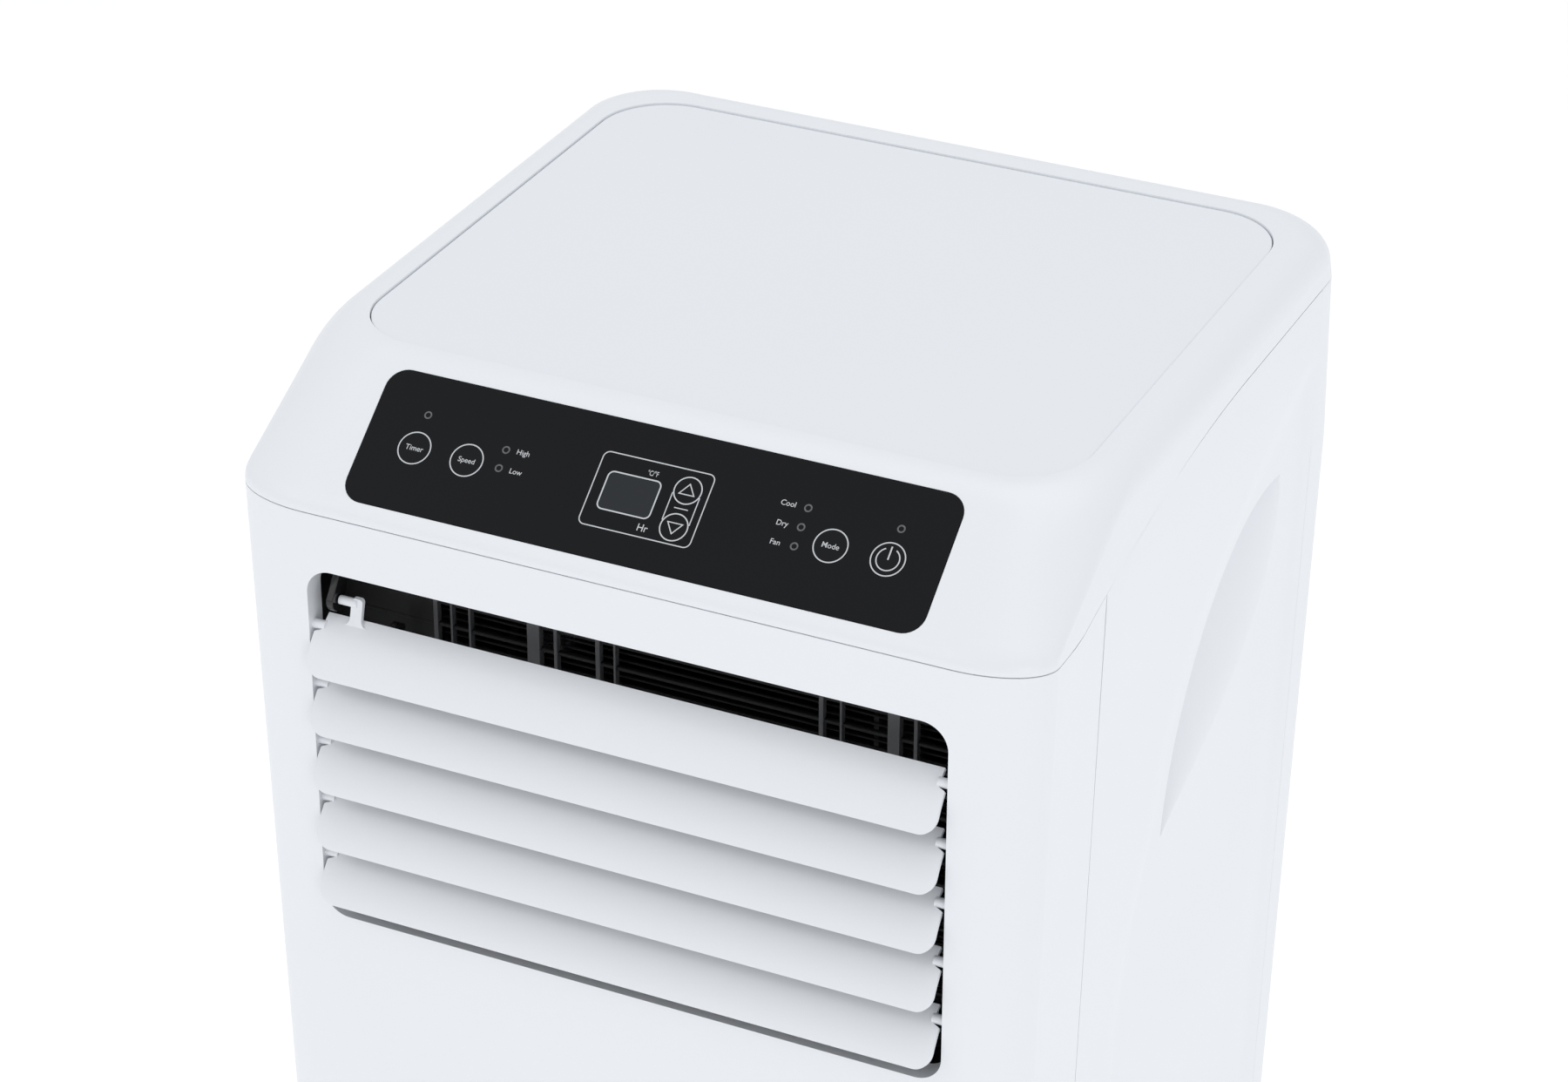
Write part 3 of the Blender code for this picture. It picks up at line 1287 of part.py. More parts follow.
make_scroll("condenser_scroll", CONDENSER_WHEEL, CONDENSER_AXIS, 0.085, 0.080, -1)
make_motor("condenser_motor", CONDENSER_WHEEL, CONDENSER_AXIS)
make_coil("evaporator_coil", *EVAPORATOR_COIL)
make_coil("condenser_coil", *CONDENSER_COIL)
make_deck()
make_compressor()
make_pipes()
make_electrical_box()
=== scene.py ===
# %% [markdown]
# # A portable air conditioner
# The machine stands in a tapered white casing on four casters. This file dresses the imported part:
# it loads the part as a fixed frame, models the visible pieces with more care, and gives every
# piece a material. Sizes are in metres. A depth is measured backwards from the front face, and a
# height from the front seam, where the top cover meets the front panel.

# %% Load the frame
import json
import math

import bpy
from mathutils import Matrix, Vector

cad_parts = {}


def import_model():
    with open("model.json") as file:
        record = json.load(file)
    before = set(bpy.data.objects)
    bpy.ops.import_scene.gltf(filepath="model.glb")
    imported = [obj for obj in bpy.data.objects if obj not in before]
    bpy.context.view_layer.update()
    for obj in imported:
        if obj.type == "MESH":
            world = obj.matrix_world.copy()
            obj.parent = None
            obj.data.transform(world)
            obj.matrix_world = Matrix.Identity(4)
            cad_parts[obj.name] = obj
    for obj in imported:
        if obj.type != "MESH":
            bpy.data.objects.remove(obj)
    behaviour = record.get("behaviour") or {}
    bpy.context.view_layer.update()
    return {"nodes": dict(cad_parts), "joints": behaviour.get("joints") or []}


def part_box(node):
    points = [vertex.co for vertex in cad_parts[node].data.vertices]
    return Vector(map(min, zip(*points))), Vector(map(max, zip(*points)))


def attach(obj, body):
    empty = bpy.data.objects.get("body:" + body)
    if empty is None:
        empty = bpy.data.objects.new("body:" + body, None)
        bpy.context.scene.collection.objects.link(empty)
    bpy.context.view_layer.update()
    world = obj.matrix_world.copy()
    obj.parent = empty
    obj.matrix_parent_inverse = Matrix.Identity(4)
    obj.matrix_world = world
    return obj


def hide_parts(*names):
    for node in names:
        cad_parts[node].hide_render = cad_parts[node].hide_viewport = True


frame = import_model()
nodes = frame["nodes"]
joint_at = {j["name"]: Vector(j["pos_m"]) for j in frame["joints"] if "pos_m" in j}

# %% [markdown]
# ## The casing's measures
# Four faces of the frame fix everything: the front, the back, the top and the seam under the cover.
# The angles and the corner sizes are the casing's own, because a box can't give them.

# %% Measures of the casing
MM = 0.001
NEAR = 1e-5  # how close two points are to count as the same in a test
WELD = 2e-6  # doubles that a boolean leaves are merged within this
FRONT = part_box("front_panel")[0].y
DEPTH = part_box("rear_panel")[1].y - FRONT
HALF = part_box("top_cover")[1].x
GAP = 0.5 * MM
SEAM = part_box("top_cover")[0].z - GAP / 2
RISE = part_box("top_cover")[1].z - SEAM
BASE_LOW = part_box("base_pan")[0].z - SEAM
BASE_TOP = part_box("base_pan")[1].z - SEAM + GAP / 2
FRONT_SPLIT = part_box("front_panel")[1].y - FRONT + GAP / 2
REAR_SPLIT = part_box("rear_panel")[0].y - FRONT - GAP / 2
SIDE_TAPER = math.tan(math.radians(1.16))
REAR_TAPER = math.tan(math.radians(0.60))
SIDE_LEAN = 1.2 * MM  # how far the sides draw in over the height of the cover
SLOPE_ANGLE = math.radians(38.2)
SLOPE_START = 4.7 * MM
LOW_FILLET = 4.5 * MM  # half the soft stretch where the front turns into the slope
HIGH_FILLET = 6.0 * MM
RIM = 13 * MM
FRONT_ACROSS, FRONT_ALONG, REAR_CORNER = 35 * MM, 18.5 * MM, 19 * MM  # corner sizes at the seam
MORE_ACROSS, MORE_ALONG, MORE_REAR = 1 * MM, 31.5 * MM, 16 * MM  # what they gain up to the top
SEAM_LEVEL, SEAM_RUN, SEAM_CLIMB = 38 * MM, 175 * MM, 26.2 * MM
SKIN = 2.4 * MM
print("casing", round(2 * HALF, 4), "wide,", round(DEPTH, 4), "deep, seam at", round(SEAM, 4))

# %% [markdown]
# ## The casing's form as a formula
# A real casing like this is drawn as one form and then cut into panels, so that the seams run over
# one smooth surface. Two functions do the same here: one gives how far back the front face is at a
# height, the other the whole outline at that height. Every panel samples them, and so neighbours
# always meet.


# %% The front's profile and the outline at a height
def front_depth(height):
    """Upright, then a soft turn into the slope, then a soft turn into the flat top."""
    steep = math.tan(SLOPE_ANGLE)
    slope = (height - SLOPE_START) / steep
    left = RISE - height
    if left < HIGH_FILLET * steep:
        crease = (RISE - SLOPE_START) / steep
        return crease + HIGH_FILLET - math.sqrt(max(left, 0.0) * 4 * HIGH_FILLET / steep)
    if slope <= -LOW_FILLET:
        return 0.0
    if slope < LOW_FILLET:
        return (slope + LOW_FILLET) ** 2 / (4 * LOW_FILLET)
    return slope


def arc(centre, radii, start, end, steps):
    turns = [math.radians(start + (end - start) * i / steps) for i in range(steps + 1)]
    return [(centre[0] + radii[0] * math.cos(a), centre[1] + radii[1] * math.sin(a)) for a in turns]


CORNER = 14  # steps round each corner
SIDE = 26  # steps along each side


def outline(height, inset=0.0):
    """X and depth round the casing, anticlockwise from the start of the front left corner."""
    share = min(1.0, max(0.0, (height - SLOPE_START) / (RISE - SLOPE_START)))
    below = min(height, 0.0)
    half = HALF + below * SIDE_TAPER - SIDE_LEAN * share - inset
    back = DEPTH + below * REAR_TAPER - inset
    front = front_depth(height)
    soften = inset / 2
    across = FRONT_ACROSS + MORE_ACROSS * share - soften
    along = FRONT_ALONG + MORE_ALONG * share - soften
    rear = REAR_CORNER + MORE_REAR * share - soften
    made = arc((-half + across, front + along), (across, along), 180, 270, CORNER)
    made += arc((half - across, front + along), (across, along), 270, 360, CORNER)
    low, high = front + along, back - rear
    made += [(half, low + (high - low) * i / SIDE) for i in range(1, SIDE)]
    made += arc((half - rear, back - rear), (rear, rear), 0, 90, CORNER)
    made += arc((-half + rear, back - rear), (rear, rear), 90, 180, CORNER)
    made += [(-half, high + (low - high) * i / SIDE) for i in range(1, SIDE)]
    return made + made[:1]


def seam_height(depth):
    """The cover's lower edge is level at the front, and climbs along the sides."""
    share = min(1.0, max(0.0, (depth - SEAM_LEVEL) / SEAM_RUN))
    return SEAM_CLIMB * (1 - (1 - share) ** 2)


def plain_side(height):
    """Half the casing's width where its sides are flat."""
    above = max(0.0, height - SLOPE_START) / (RISE - SLOPE_START)
    return HALF + min(height, 0.0) * SIDE_TAPER - SIDE_LEAN * above


def panel_height(depth, step, steps):
    """A height on the way from the base up to the seam, where the panel lies at this depth."""
    high = seam_height(depth) - GAP / 2
    return BASE_TOP + GAP / 2 + (high - BASE_TOP - GAP / 2) * step / steps


def world(x, depth, height):
    return Vector((x, FRONT + depth, SEAM + height))


def panel_row(places, step, steps):
    """One level of a panel, through places of the outline."""
    row = []
    for i in places:
        height = panel_height(outline(0.0)[i][1], step, steps)
        row.append(world(*outline(height)[i], height))
    return row


print("outline has", len(outline(0.0)) - 1, "points")


# %% [markdown]
# ## Helpers for modelling
# Everything is modelled with the operators that a person would use in the 3D view. An operator
# works on whatever is selected, so each helper first clears the selection. Modifiers are applied as
# soon as they have done their work, because a finished piece is a plain mesh.


# %% Selecting, modifying and finishing a piece
def pick(*pieces):
    bpy.ops.object.select_all(action="DESELECT")
    for piece in pieces:
        piece.select_set(True)
    bpy.context.view_layer.objects.active = pieces[0]


def modify(piece, kind, **settings):
    pick(piece)
    step = piece.modifiers.new(kind.title(), kind)
    for key, value in settings.items():
        setattr(step, key, value)
    bpy.ops.object.modifier_apply(modifier=step.name)
    return piece


def edit(piece, *steps):
    """Runs mesh operators on the whole piece. A step is an operator and its settings."""
    pick(piece)
    bpy.ops.object.mode_set(mode="EDIT")
    bpy.ops.mesh.select_all(action="SELECT")
    for operator, settings in steps:
        operator(**settings)
    bpy.ops.object.mode_set(mode="OBJECT")
    return piece


def merge_within(reach):
    return bpy.ops.mesh.remove_doubles, {"threshold": reach}


FACE_OUT = (bpy.ops.mesh.normals_make_consistent, {"inside": False})


def tidy_mesh(piece, merge=1e-6):
    """Merges doubles and turns every face outwards."""
    return edit(piece, merge_within(merge), FACE_OUT)


def settle(piece):
    """Puts the piece's place into its mesh, so that the object sits at the origin."""
    pick(piece)
    bpy.ops.object.transform_apply(location=True, rotation=True, scale=True)
    return piece


def combine(piece, *others, operation="UNION"):
    for other in others:
        modify(piece, "BOOLEAN", operation=operation, object=other, solver="EXACT")
        bpy.data.objects.remove(other, do_unlink=True)
    return piece


def cut(piece, *others):
    return combine(piece, *others, operation="DIFFERENCE")


def soften(piece, width, segments=2, angle=35):
    """Rounds the sharp edges."""
    return modify(
        piece, "BEVEL", width=width, segments=segments, limit_method="ANGLE",
        angle_limit=math.radians(angle), use_clamp_overlap=True, harden_normals=False,
    )


def finish_piece(piece, name, finish, body, replaces=(), smooth=32):
    """Names, smooths and paints the piece, and ties it to its body."""
    piece.name = name
    piece.data.name = name
    settle(piece)
    piece.data.materials.clear()
    piece.data.materials.append(finish)
    for face in piece.data.polygons:
        face.material_index = 0
    bpy.ops.object.shade_smooth_by_angle(angle=math.radians(smooth))
    modify(piece, "WEIGHTED_NORMAL", keep_sharp=True)
    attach(piece, body)
    if replaces:
        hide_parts(*replaces)
    print(name, len(piece.data.polygons), "faces")
    return piece


# %% Shapes that come back often
def wrap_grid(rows, closed=False):
    """A flat grid primitive laid over rows of points, one point for each of its vertices."""
    across, up = len(rows[0]), len(rows)
    bpy.ops.mesh.primitive_grid_add(x_subdivisions=across - 1, y_subdivisions=up - 1, size=1)
    piece = bpy.context.object
    for index, vertex in enumerate(piece.data.vertices):
        vertex.co = rows[index // across][index % across]
    return edit(piece, merge_within(1e-6)) if closed else piece


def extrude_by(*way):
    return bpy.ops.mesh.extrude_region_move, {"TRANSFORM_OT_translate": {"value": way}}


def prism(points, low, high, matrix):
    """A filled outline in local X and Y, extruded from low to high along local Z."""
    bpy.ops.mesh.primitive_circle_add(vertices=len(points), radius=1, fill_type="NGON")
    piece = bpy.context.object
    for vertex, (x, y) in zip(piece.data.vertices, points):
        vertex.co = (x, y, low)
    edit(piece, extrude_by(0, 0, high - low))
    piece.data.transform(matrix)
    return tidy_mesh(piece)


def rod(start, end, radius, steps=24):
    start, end = Vector(start), Vector(end)
    bpy.ops.mesh.primitive_cylinder_add(vertices=steps, radius=radius, depth=(end - start).length)
    piece = bpy.context.object
    turn = (end - start).to_track_quat("Z", "Y").to_matrix().to_4x4()
    piece.data.transform(Matrix.Translation((start + end) / 2) @ turn)
    return piece


def block(low, high):
    low, high = Vector(low), Vector(high)
    bpy.ops.mesh.primitive_cube_add(size=1, location=(low + high) / 2, scale=high - low)
    return settle(bpy.context.object)


def turned(profile, at, axis, steps=48):
    """A profile of (radius, distance along the axis) points spun round the axis."""
    bpy.ops.mesh.primitive_circle_add(vertices=len(profile), radius=1, fill_type="NOTHING")
    piece = bpy.context.object
    for vertex, (radius, along) in zip(piece.data.vertices, profile):
        vertex.co = (radius, 0, along)
    whole_turn = {"steps": steps, "angle": 2 * math.pi, "center": (0, 0, 0), "axis": (0, 0, 1)}
    edit(piece, (bpy.ops.mesh.spin, whole_turn))
    turn = Vector(axis).to_track_quat("Z", "Y").to_matrix().to_4x4()
    piece.data.transform(Matrix.Translation(Vector(at)) @ turn)
    return tidy_mesh(piece, NEAR)


def rounded(low, high, radius, steps=8):
    """A rectangle with round corners."""
    (x0, y0), (x1, y1), radii = low, high, (radius, radius)
    made = arc((x1 - radius, y0 + radius), radii, -90, 0, steps)
    made += arc((x1 - radius, y1 - radius), radii, 0, 90, steps)
    made += arc((x0 + radius, y1 - radius), radii, 90, 180, steps)
    return made + arc((x0 + radius, y0 + radius), radii, 180, 270, steps)


def inset_box(low, high, inset, radius):
    """The front view of a box, drawn in all round, in X and Z."""
    return rounded((low.x + inset, low.z + inset), (high.x - inset, high.z - inset), radius)


def through(points, near, far):
    """An outline in X and Z, solid between two Y."""
    return prism(points, -far, -near, UPRIGHT)


def axle(at, low_x, high_x, radius, steps=24):
    """A round pin or drill along X, from low_x to high_x past a point."""
    return rod(at + Vector((low_x, 0, 0)), at + Vector((high_x, 0, 0)), radius, steps)


def repeat(piece, count, pitch):
    """An array of the piece, one above another."""
    return modify(piece, "ARRAY", count=count, use_relative_offset=False, use_constant_offset=True,
                  constant_offset_displace=(0, 0, pitch))


def copy_node(name):
    """A copy of a node of the frame, merged and with its flat faces made whole again."""
    piece = nodes[name].copy()
    piece.data = nodes[name].data.copy()
    piece.parent = None
    bpy.context.scene.collection.objects.link(piece)
    for key in list(piece.keys()):
        if key.startswith("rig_"):
            del piece[key]
    pick(piece)
    bpy.ops.mesh.customdata_custom_splitnormals_clear()
    flat = {"angle_limit": math.radians(1)}
    return edit(piece, merge_within(WELD), (bpy.ops.mesh.dissolve_limited, flat))


# An outline's X, Y and Z become X, Z and -Y in the first, and Y, Z and X in the second.
UPRIGHT = Matrix(((1, 0, 0, 0), (0, 0, -1, 0), (0, 1, 0, 0), (0, 0, 0, 1)))
SIDEWAYS = Matrix(((0, 0, 1, 0), (1, 0, 0, 0), (0, 1, 0, 0), (0, 0, 0, 1)))


def upright(points, near, far):
    """An outline in X and height, solid between two depths."""
    shifted = [(x, SEAM + height) for x, height in points]
    return prism(shifted, -(FRONT + far), -(FRONT + near), UPRIGHT)


def bevel_edges(piece, wanted, width, segments):
    """Rounds the edges whose two ends the test accepts."""
    pick(piece)
    mesh = piece.data
    bpy.ops.object.mode_set(mode="EDIT")
    bpy.ops.mesh.select_mode(type="EDGE")
    bpy.ops.mesh.select_all(action="DESELECT")
    bpy.ops.object.mode_set(mode="OBJECT")
    for edge in mesh.edges:
        edge.select = wanted(*(mesh.vertices[i].co for i in edge.vertices))
    count = sum(edge.select for edge in mesh.edges)
    bpy.ops.object.mode_set(mode="EDIT")
    bpy.ops.mesh.bevel(
        offset=width, offset_type="OFFSET", segments=segments, affect="EDGES", clamp_overlap=True,
    )
    bpy.ops.object.mode_set(mode="OBJECT")
    print("  bevelled", count, "edges")
    return piece


def thicken(piece, wall):
    """Gives a sheet its wall, inwards."""
    edit(piece, FACE_OUT)
    modify(piece, "SOLIDIFY", thickness=wall, offset=-1.0, use_even_offset=True)
    return tidy_mesh(piece)


# %% [markdown]
# ## Finishes
# Moulded plastic is never quite flat in colour or gloss. A grain too fine to see breaks up its
# reflections, and the mould leaves slow waves of a shade. Both effects come from one shader node
# group, made once and placed in each material with its own numbers. The shader itself stays in each
# material.


# %% The node group that the finishes share
def node_group(name, inputs, outputs):
    group = bpy.data.node_groups.new(name, "ShaderNodeTree")
    for label, kind, value in inputs:
        socket = group.interface.new_socket(label, in_out="INPUT", socket_type=kind)
        if value is not None:
            socket.default_value = value
    for label, kind in outputs:
        group.interface.new_socket(label, in_out="OUTPUT", socket_type=kind)
    return group, group.nodes.new("NodeGroupInput"), group.nodes.new("NodeGroupOutput")


def wire(tree, *pairs):
    for start, end in pairs:
        tree.links.new(start, end)


def colour_mix(tree):
    """A mix node for colours, with its two colour inputs and its colour output."""
    mix = tree.nodes.new("ShaderNodeMix")
    mix.data_type = "RGBA"
    first, second = (socket for socket in mix.inputs if socket.type == "RGBA")
    result = [socket for socket in mix.outputs if socket.type == "RGBA"][0]
    return mix.inputs[0], first, second, result


def noise(tree, scale, detail, place):
    node = tree.nodes.new("ShaderNodeTexNoise")
    node.inputs["Scale"].default_value = scale
    node.inputs["Detail"].default_value = detail
    node.location = place
    return node


def make_mould_grain():
    """A fine grain as a height, and slow changes of shade and gloss."""
    group, start, end = node_group(
        "mould_grain",
        [
            ("Base", "NodeSocketColor", (1, 1, 1, 1)),
            ("Shade", "NodeSocketColor", (0.9, 0.9, 0.9, 1)),
            ("Gloss", "NodeSocketFloat", 0.4), ("Spread", "NodeSocketFloat", 0.08),
            ("Grain", "NodeSocketFloat", 1500.0),
        ],
        [
            ("Colour", "NodeSocketColor"), ("Roughness", "NodeSocketFloat"),
            ("Height", "NodeSocketFloat"),
        ],
    )
    place = group.nodes.new("ShaderNodeTexCoord")
    slow, fine = noise(group, 6, 3, (0, 200)), noise(group, 1500, 2, (0, -200))
    factor, first, second, mixed = colour_mix(group)
    gloss = group.nodes.new("ShaderNodeMath")
    gloss.operation = "MULTIPLY_ADD"
    wire(
        group,
        (place.outputs["Object"], slow.inputs["Vector"]),
        (place.outputs["Object"], fine.inputs["Vector"]),
        (start.outputs["Grain"], fine.inputs["Scale"]),
        (slow.outputs["Fac"], factor),
        (start.outputs["Base"], first),
        (start.outputs["Shade"], second),
        (mixed, end.inputs["Colour"]),
        (slow.outputs["Fac"], gloss.inputs[0]),
        (start.outputs["Spread"], gloss.inputs[1]),
        (start.outputs["Gloss"], gloss.inputs[2]),
        (gloss.outputs[0], end.inputs["Roughness"]),
        (fine.outputs["Fac"], end.inputs["Height"]),
    )
    return group


MOULD_GRAIN = make_mould_grain()


# %% One way to make a finish
def finish_of(name, base, shade, gloss, spread=0.06, grain=1500.0, depth=0.00002, **fixed):
    """A Principled material fed by the grain group. Base and shade are linear colours."""
    made = bpy.data.materials.new(name)
    made.use_nodes = True
    tree = made.node_tree
    shader = tree.nodes["Principled BSDF"]
    group = tree.nodes.new("ShaderNodeGroup")
    group.node_tree = MOULD_GRAIN
    group.inputs["Base"].default_value = (*base, 1)
    group.inputs["Shade"].default_value = (*shade, 1)
    group.inputs["Gloss"].default_value = gloss
    group.inputs["Spread"].default_value = spread
    group.inputs["Grain"].default_value = grain
    bump = tree.nodes.new("ShaderNodeBump")
    bump.inputs["Strength"].default_value = 0.35
    bump.inputs["Distance"].default_value = depth
    for label, value in fixed.items():
        shader.inputs[label].default_value = value
    wire(
        tree, (group.outputs["Colour"], shader.inputs["Base Color"]),
        (group.outputs["Roughness"], shader.inputs["Roughness"]),
        (group.outputs["Height"], bump.inputs["Height"]),
        (bump.outputs["Normal"], shader.inputs["Normal"]),
    )
    return made


DULL = {"Specular IOR Level": 0.12}  # a film that mirrors little
WHITE = finish_of("white_plastic", (0.868, 0.888, 0.920), (0.850, 0.871, 0.906), 0.30, 0.08)
PLATE = finish_of("white_plate", (0.852, 0.874, 0.910), (0.837, 0.860, 0.898), 0.36, 0.08)
GREY = finish_of("grey_plastic", (0.30, 0.31, 0.32), (0.27, 0.28, 0.29), 0.50)
FILM = finish_of(
    "black_film", (0.0075, 0.0080, 0.0095), (0.0095, 0.0100, 0.0115), 0.22, 0.05,
    depth=0.00001, **DULL,
)
KEY = finish_of(
    "key_black", (0.0085, 0.0090, 0.0105), (0.0105, 0.0110, 0.0125), 0.24, 0.05,
    depth=0.00001, **DULL,
)
LENS = finish_of(
    "display_lens", (0.030, 0.033, 0.037), (0.024, 0.027, 0.031), 0.10, 0.03, depth=0.000004,
    **{"Specular IOR Level": 0.16},
)
INNER = finish_of(
    "inner_black", (0.0060, 0.0060, 0.0066), (0.0085, 0.0085, 0.0092), 0.50,
    **{"Specular IOR Level": 0.22},
)
GLOSS = finish_of("crank_black", (0.008, 0.008, 0.009), (0.011, 0.011, 0.012), 0.16, 0.05)
RIB = finish_of("guard_grey", (0.060, 0.061, 0.064), (0.050, 0.051, 0.054), 0.45)
INK = finish_of("print_white", (0.62, 0.64, 0.66), (0.55, 0.57, 0.59), 0.45)
LAMP = finish_of("lamp_lens", (0.13, 0.135, 0.14), (0.09, 0.095, 0.10), 0.22, 0.04)
STEEL = finish_of(
    "bare_steel", (0.48, 0.48, 0.47), (0.40, 0.40, 0.39), 0.32, 0.12, 900, Metallic=1.0,
)
COPPER = finish_of("copper", (0.72, 0.36, 0.22), (0.60, 0.28, 0.17), 0.28, 0.14, 700, Metallic=1.0)
PAINT = finish_of("black_paint", (0.016, 0.016, 0.017), (0.024, 0.024, 0.025), 0.34, 0.10, 700)
RUBBER = finish_of("rubber", (0.030, 0.030, 0.031), (0.042, 0.042, 0.043), 0.66, 0.08, 900, 0.00004)
# painted shade: the seam lips are grey instead of the casing's white, so that the seam gaps show a
# grey line of shade
SEAM_SHADE_LIP = finish_of("lip_grey_painted_seam_shade", (0.42, 0.43, 0.45), (0.38, 0.39, 0.41), 0.5)
print(len(bpy.data.materials), "materials so far")

# %% [markdown]
# ## Finishes with a pattern
# Three finishes are more than a grain. A coil is hundreds of thin fins, a filter is a woven net,
# and a circuit board is green with copper tracks. Each is a pattern on the object's own
# coordinates.


# %% Fins, mesh and board
def patterned(name, first, second, gloss, metallic, pattern, height, depth):
    made = bpy.data.materials.new(name)
    made.use_nodes = True
    tree = made.node_tree
    shader = tree.nodes["Principled BSDF"]
    place = tree.nodes.new("ShaderNodeTexCoord")
    mask = pattern(tree, place.outputs["Object"])
    factor, low, high, mixed = colour_mix(tree)
    low.default_value, high.default_value = (*first, 1), (*second, 1)
    bump = tree.nodes.new("ShaderNodeBump")
    bump.inputs["Strength"].default_value = height
    bump.inputs["Distance"].default_value = depth
    shader.inputs["Metallic"].default_value = metallic
    shader.inputs["Roughness"].default_value = gloss
    wire(
        tree, (mask, factor), (mixed, shader.inputs["Base Color"]),
        (mask, bump.inputs["Height"]), (bump.outputs["Normal"], shader.inputs["Normal"]),
    )
    return made


def bands(tree, vector, direction, scale):
    wave = tree.nodes.new("ShaderNodeTexWave")
    wave.wave_type, wave.bands_direction = "BANDS", direction
    wave.inputs["Scale"].default_value = scale
    wave.inputs["Distortion"].default_value = 0.0
    tree.links.new(vector, wave.inputs["Vector"])
    return wave.outputs["Fac"]


def net(tree, vector):
    """Threads both ways: the higher of two sets of bands."""
    high = tree.nodes.new("ShaderNodeMath")
    high.operation = "MAXIMUM"
    for socket, direction in zip(high.inputs, "XZ"):
        tree.links.new(bands(tree, vector, direction, 160), socket)
    return high.outputs[0]


def tracks(tree, vector):
    cells = tree.nodes.new("ShaderNodeTexVoronoi")
    cells.inputs["Scale"].default_value = 120
    cells.distance = "MANHATTAN"
    step = tree.nodes.new("ShaderNodeMath")
    step.operation = "LESS_THAN"
    step.inputs[1].default_value = 0.18
    wire(tree, (vector, cells.inputs["Vector"]), (cells.outputs["Distance"], step.inputs[0]))
    return step.outputs[0]


FINS = patterned(
    "aluminium_fins", (0.16, 0.16, 0.16), (0.70, 0.71, 0.72), 0.38, 1.0,
    lambda tree, vector: bands(tree, vector, "X", 180), 0.6, 0.0006,
)
MESH = patterned(
    "filter_mesh", (0.05, 0.05, 0.052), (0.38, 0.39, 0.40), 0.7, 0.0, net, 0.7, 0.0004,
)
BOARD = patterned(
    "circuit_board", (0.02, 0.13, 0.06), (0.55, 0.42, 0.16), 0.35, 0.0, tracks, 0.2, 0.0001,
)
print("patterned finishes ready")

# %% [markdown]
# ## The top cover
# The cover is the part that gives the machine its face: a slope for the controls that turns softly
# into the upright front, and a rounded rim round a flat top plate. It is one grid laid round the
# casing's outline, row above row, so the corners and the slope share one smooth surface. Its lowest
# row follows the seam. The middle of the top is closed with one face, the sheet gets a wall, and
# the seats of the film and the plate are cut into it.

# %% Top cover
PLATE_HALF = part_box("top_plate")[1].x
PLATE_DEPTHS = tuple(corner.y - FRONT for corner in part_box("top_plate"))
PLATE_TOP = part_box("top_plate")[1].z - SEAM
PLATE_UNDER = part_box("top_plate")[0].z - SEAM
PLATE_CORNER = 30 * MM
PLATE_FIT, FILM_FIT = 0.45 * MM, 0.25 * MM  # the gaps round the plate and the film


def cover_rows():
    """Rows from the seam up to the rim, closer together near the seam, and then over the rim."""
    lows = [seam_height(depth) + GAP / 2 for _, depth in outline(0.0)]
    lows = [seam_height(outline(low)[i][1]) + GAP / 2 for i, low in enumerate(lows)]
    steps, rims = 26, 9
    rows = []
    for step in range(steps + 1):
        share = (step / steps) ** 1.15
        heights = [low + (RISE - RIM - low) * share for low in lows]
        outlines = {}
        row = []
        for i, height in enumerate(heights):
            key = round(height, 7)
            if key not in outlines:
                outlines[key] = outline(height)
            row.append(world(*outlines[key][i], height))
        rows.append(row)
    for step in range(1, rims + 1):
        turn = math.radians(90 * step / rims)
        height, inset = RISE - RIM + RIM * math.sin(turn), RIM * (1 - math.cos(turn))
        rows.append([world(x, depth, height) for x, depth in outline(height, inset)])
    return rows


def close_last_ring(piece, at_least):
    """Fills the open ring above a height with one face."""
    pick(piece)
    bpy.ops.object.mode_set(mode="EDIT")
    bpy.ops.mesh.select_mode(type="EDGE")
    bpy.ops.mesh.select_all(action="DESELECT")
    bpy.ops.mesh.select_non_manifold(
        extend=False, use_wire=False, use_boundary=True, use_multi_face=False,
        use_non_contiguous=False, use_verts=False,
    )
    bpy.ops.object.mode_set(mode="OBJECT")
    for edge in piece.data.edges:
        if edge.select:
            edge.select = all(piece.data.vertices[i].co.z > at_least for i in edge.vertices)
    bpy.ops.object.mode_set(mode="EDIT")
    bpy.ops.mesh.edge_face_add()
    bpy.ops.object.mode_set(mode="OBJECT")


slope_up = Vector((0, math.cos(SLOPE_ANGLE), math.sin(SLOPE_ANGLE)))
slope_out = Vector((0, -math.sin(SLOPE_ANGLE), math.cos(SLOPE_ANGLE)))
slope_turn = Matrix((Vector((1, 0, 0)), slope_up, slope_out)).transposed().to_4x4()
SLOPE = Matrix.Translation(world(0, 0, SLOPE_START)) @ slope_turn
FILM_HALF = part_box("control_overlay")[1].x
FILM_LOW, FILM_HIGH = 5.1 * MM, 62.1 * MM
FILM_CORNER = 8.5 * MM


def grown(half, low, high, corner, grow, steps):
    """A rounded rectangle, even about the middle, grown all round."""
    return rounded((-half - grow, low - grow), (half + grow, high + grow), corner + grow, steps)


def film_outline(grow):
    return grown(FILM_HALF, FILM_LOW, FILM_HIGH, FILM_CORNER, grow, 8)


def plate_outline(grow):
    return grown(PLATE_HALF, *(FRONT + depth for depth in PLATE_DEPTHS), PLATE_CORNER, grow, 16)


cover = wrap_grid(cover_rows(), closed=True)
close_last_ring(cover, SEAM + RISE - 0.1 * MM)
thicken(cover, SKIN)
FLAT = Matrix.Identity(4)
plate_seat = prism(
    plate_outline(PLATE_FIT), SEAM + PLATE_UNDER - 0.1 * MM, SEAM + RISE + 10 * MM, FLAT,
)
film_seat = prism(film_outline(FILM_FIT), -1.5 * MM, 20 * MM, SLOPE)
cut(cover, plate_seat, film_seat)
window = prism(film_outline(-3 * MM), -12 * MM, 20 * MM, SLOPE)
cut(cover, window)
tidy_mesh(cover, WELD)


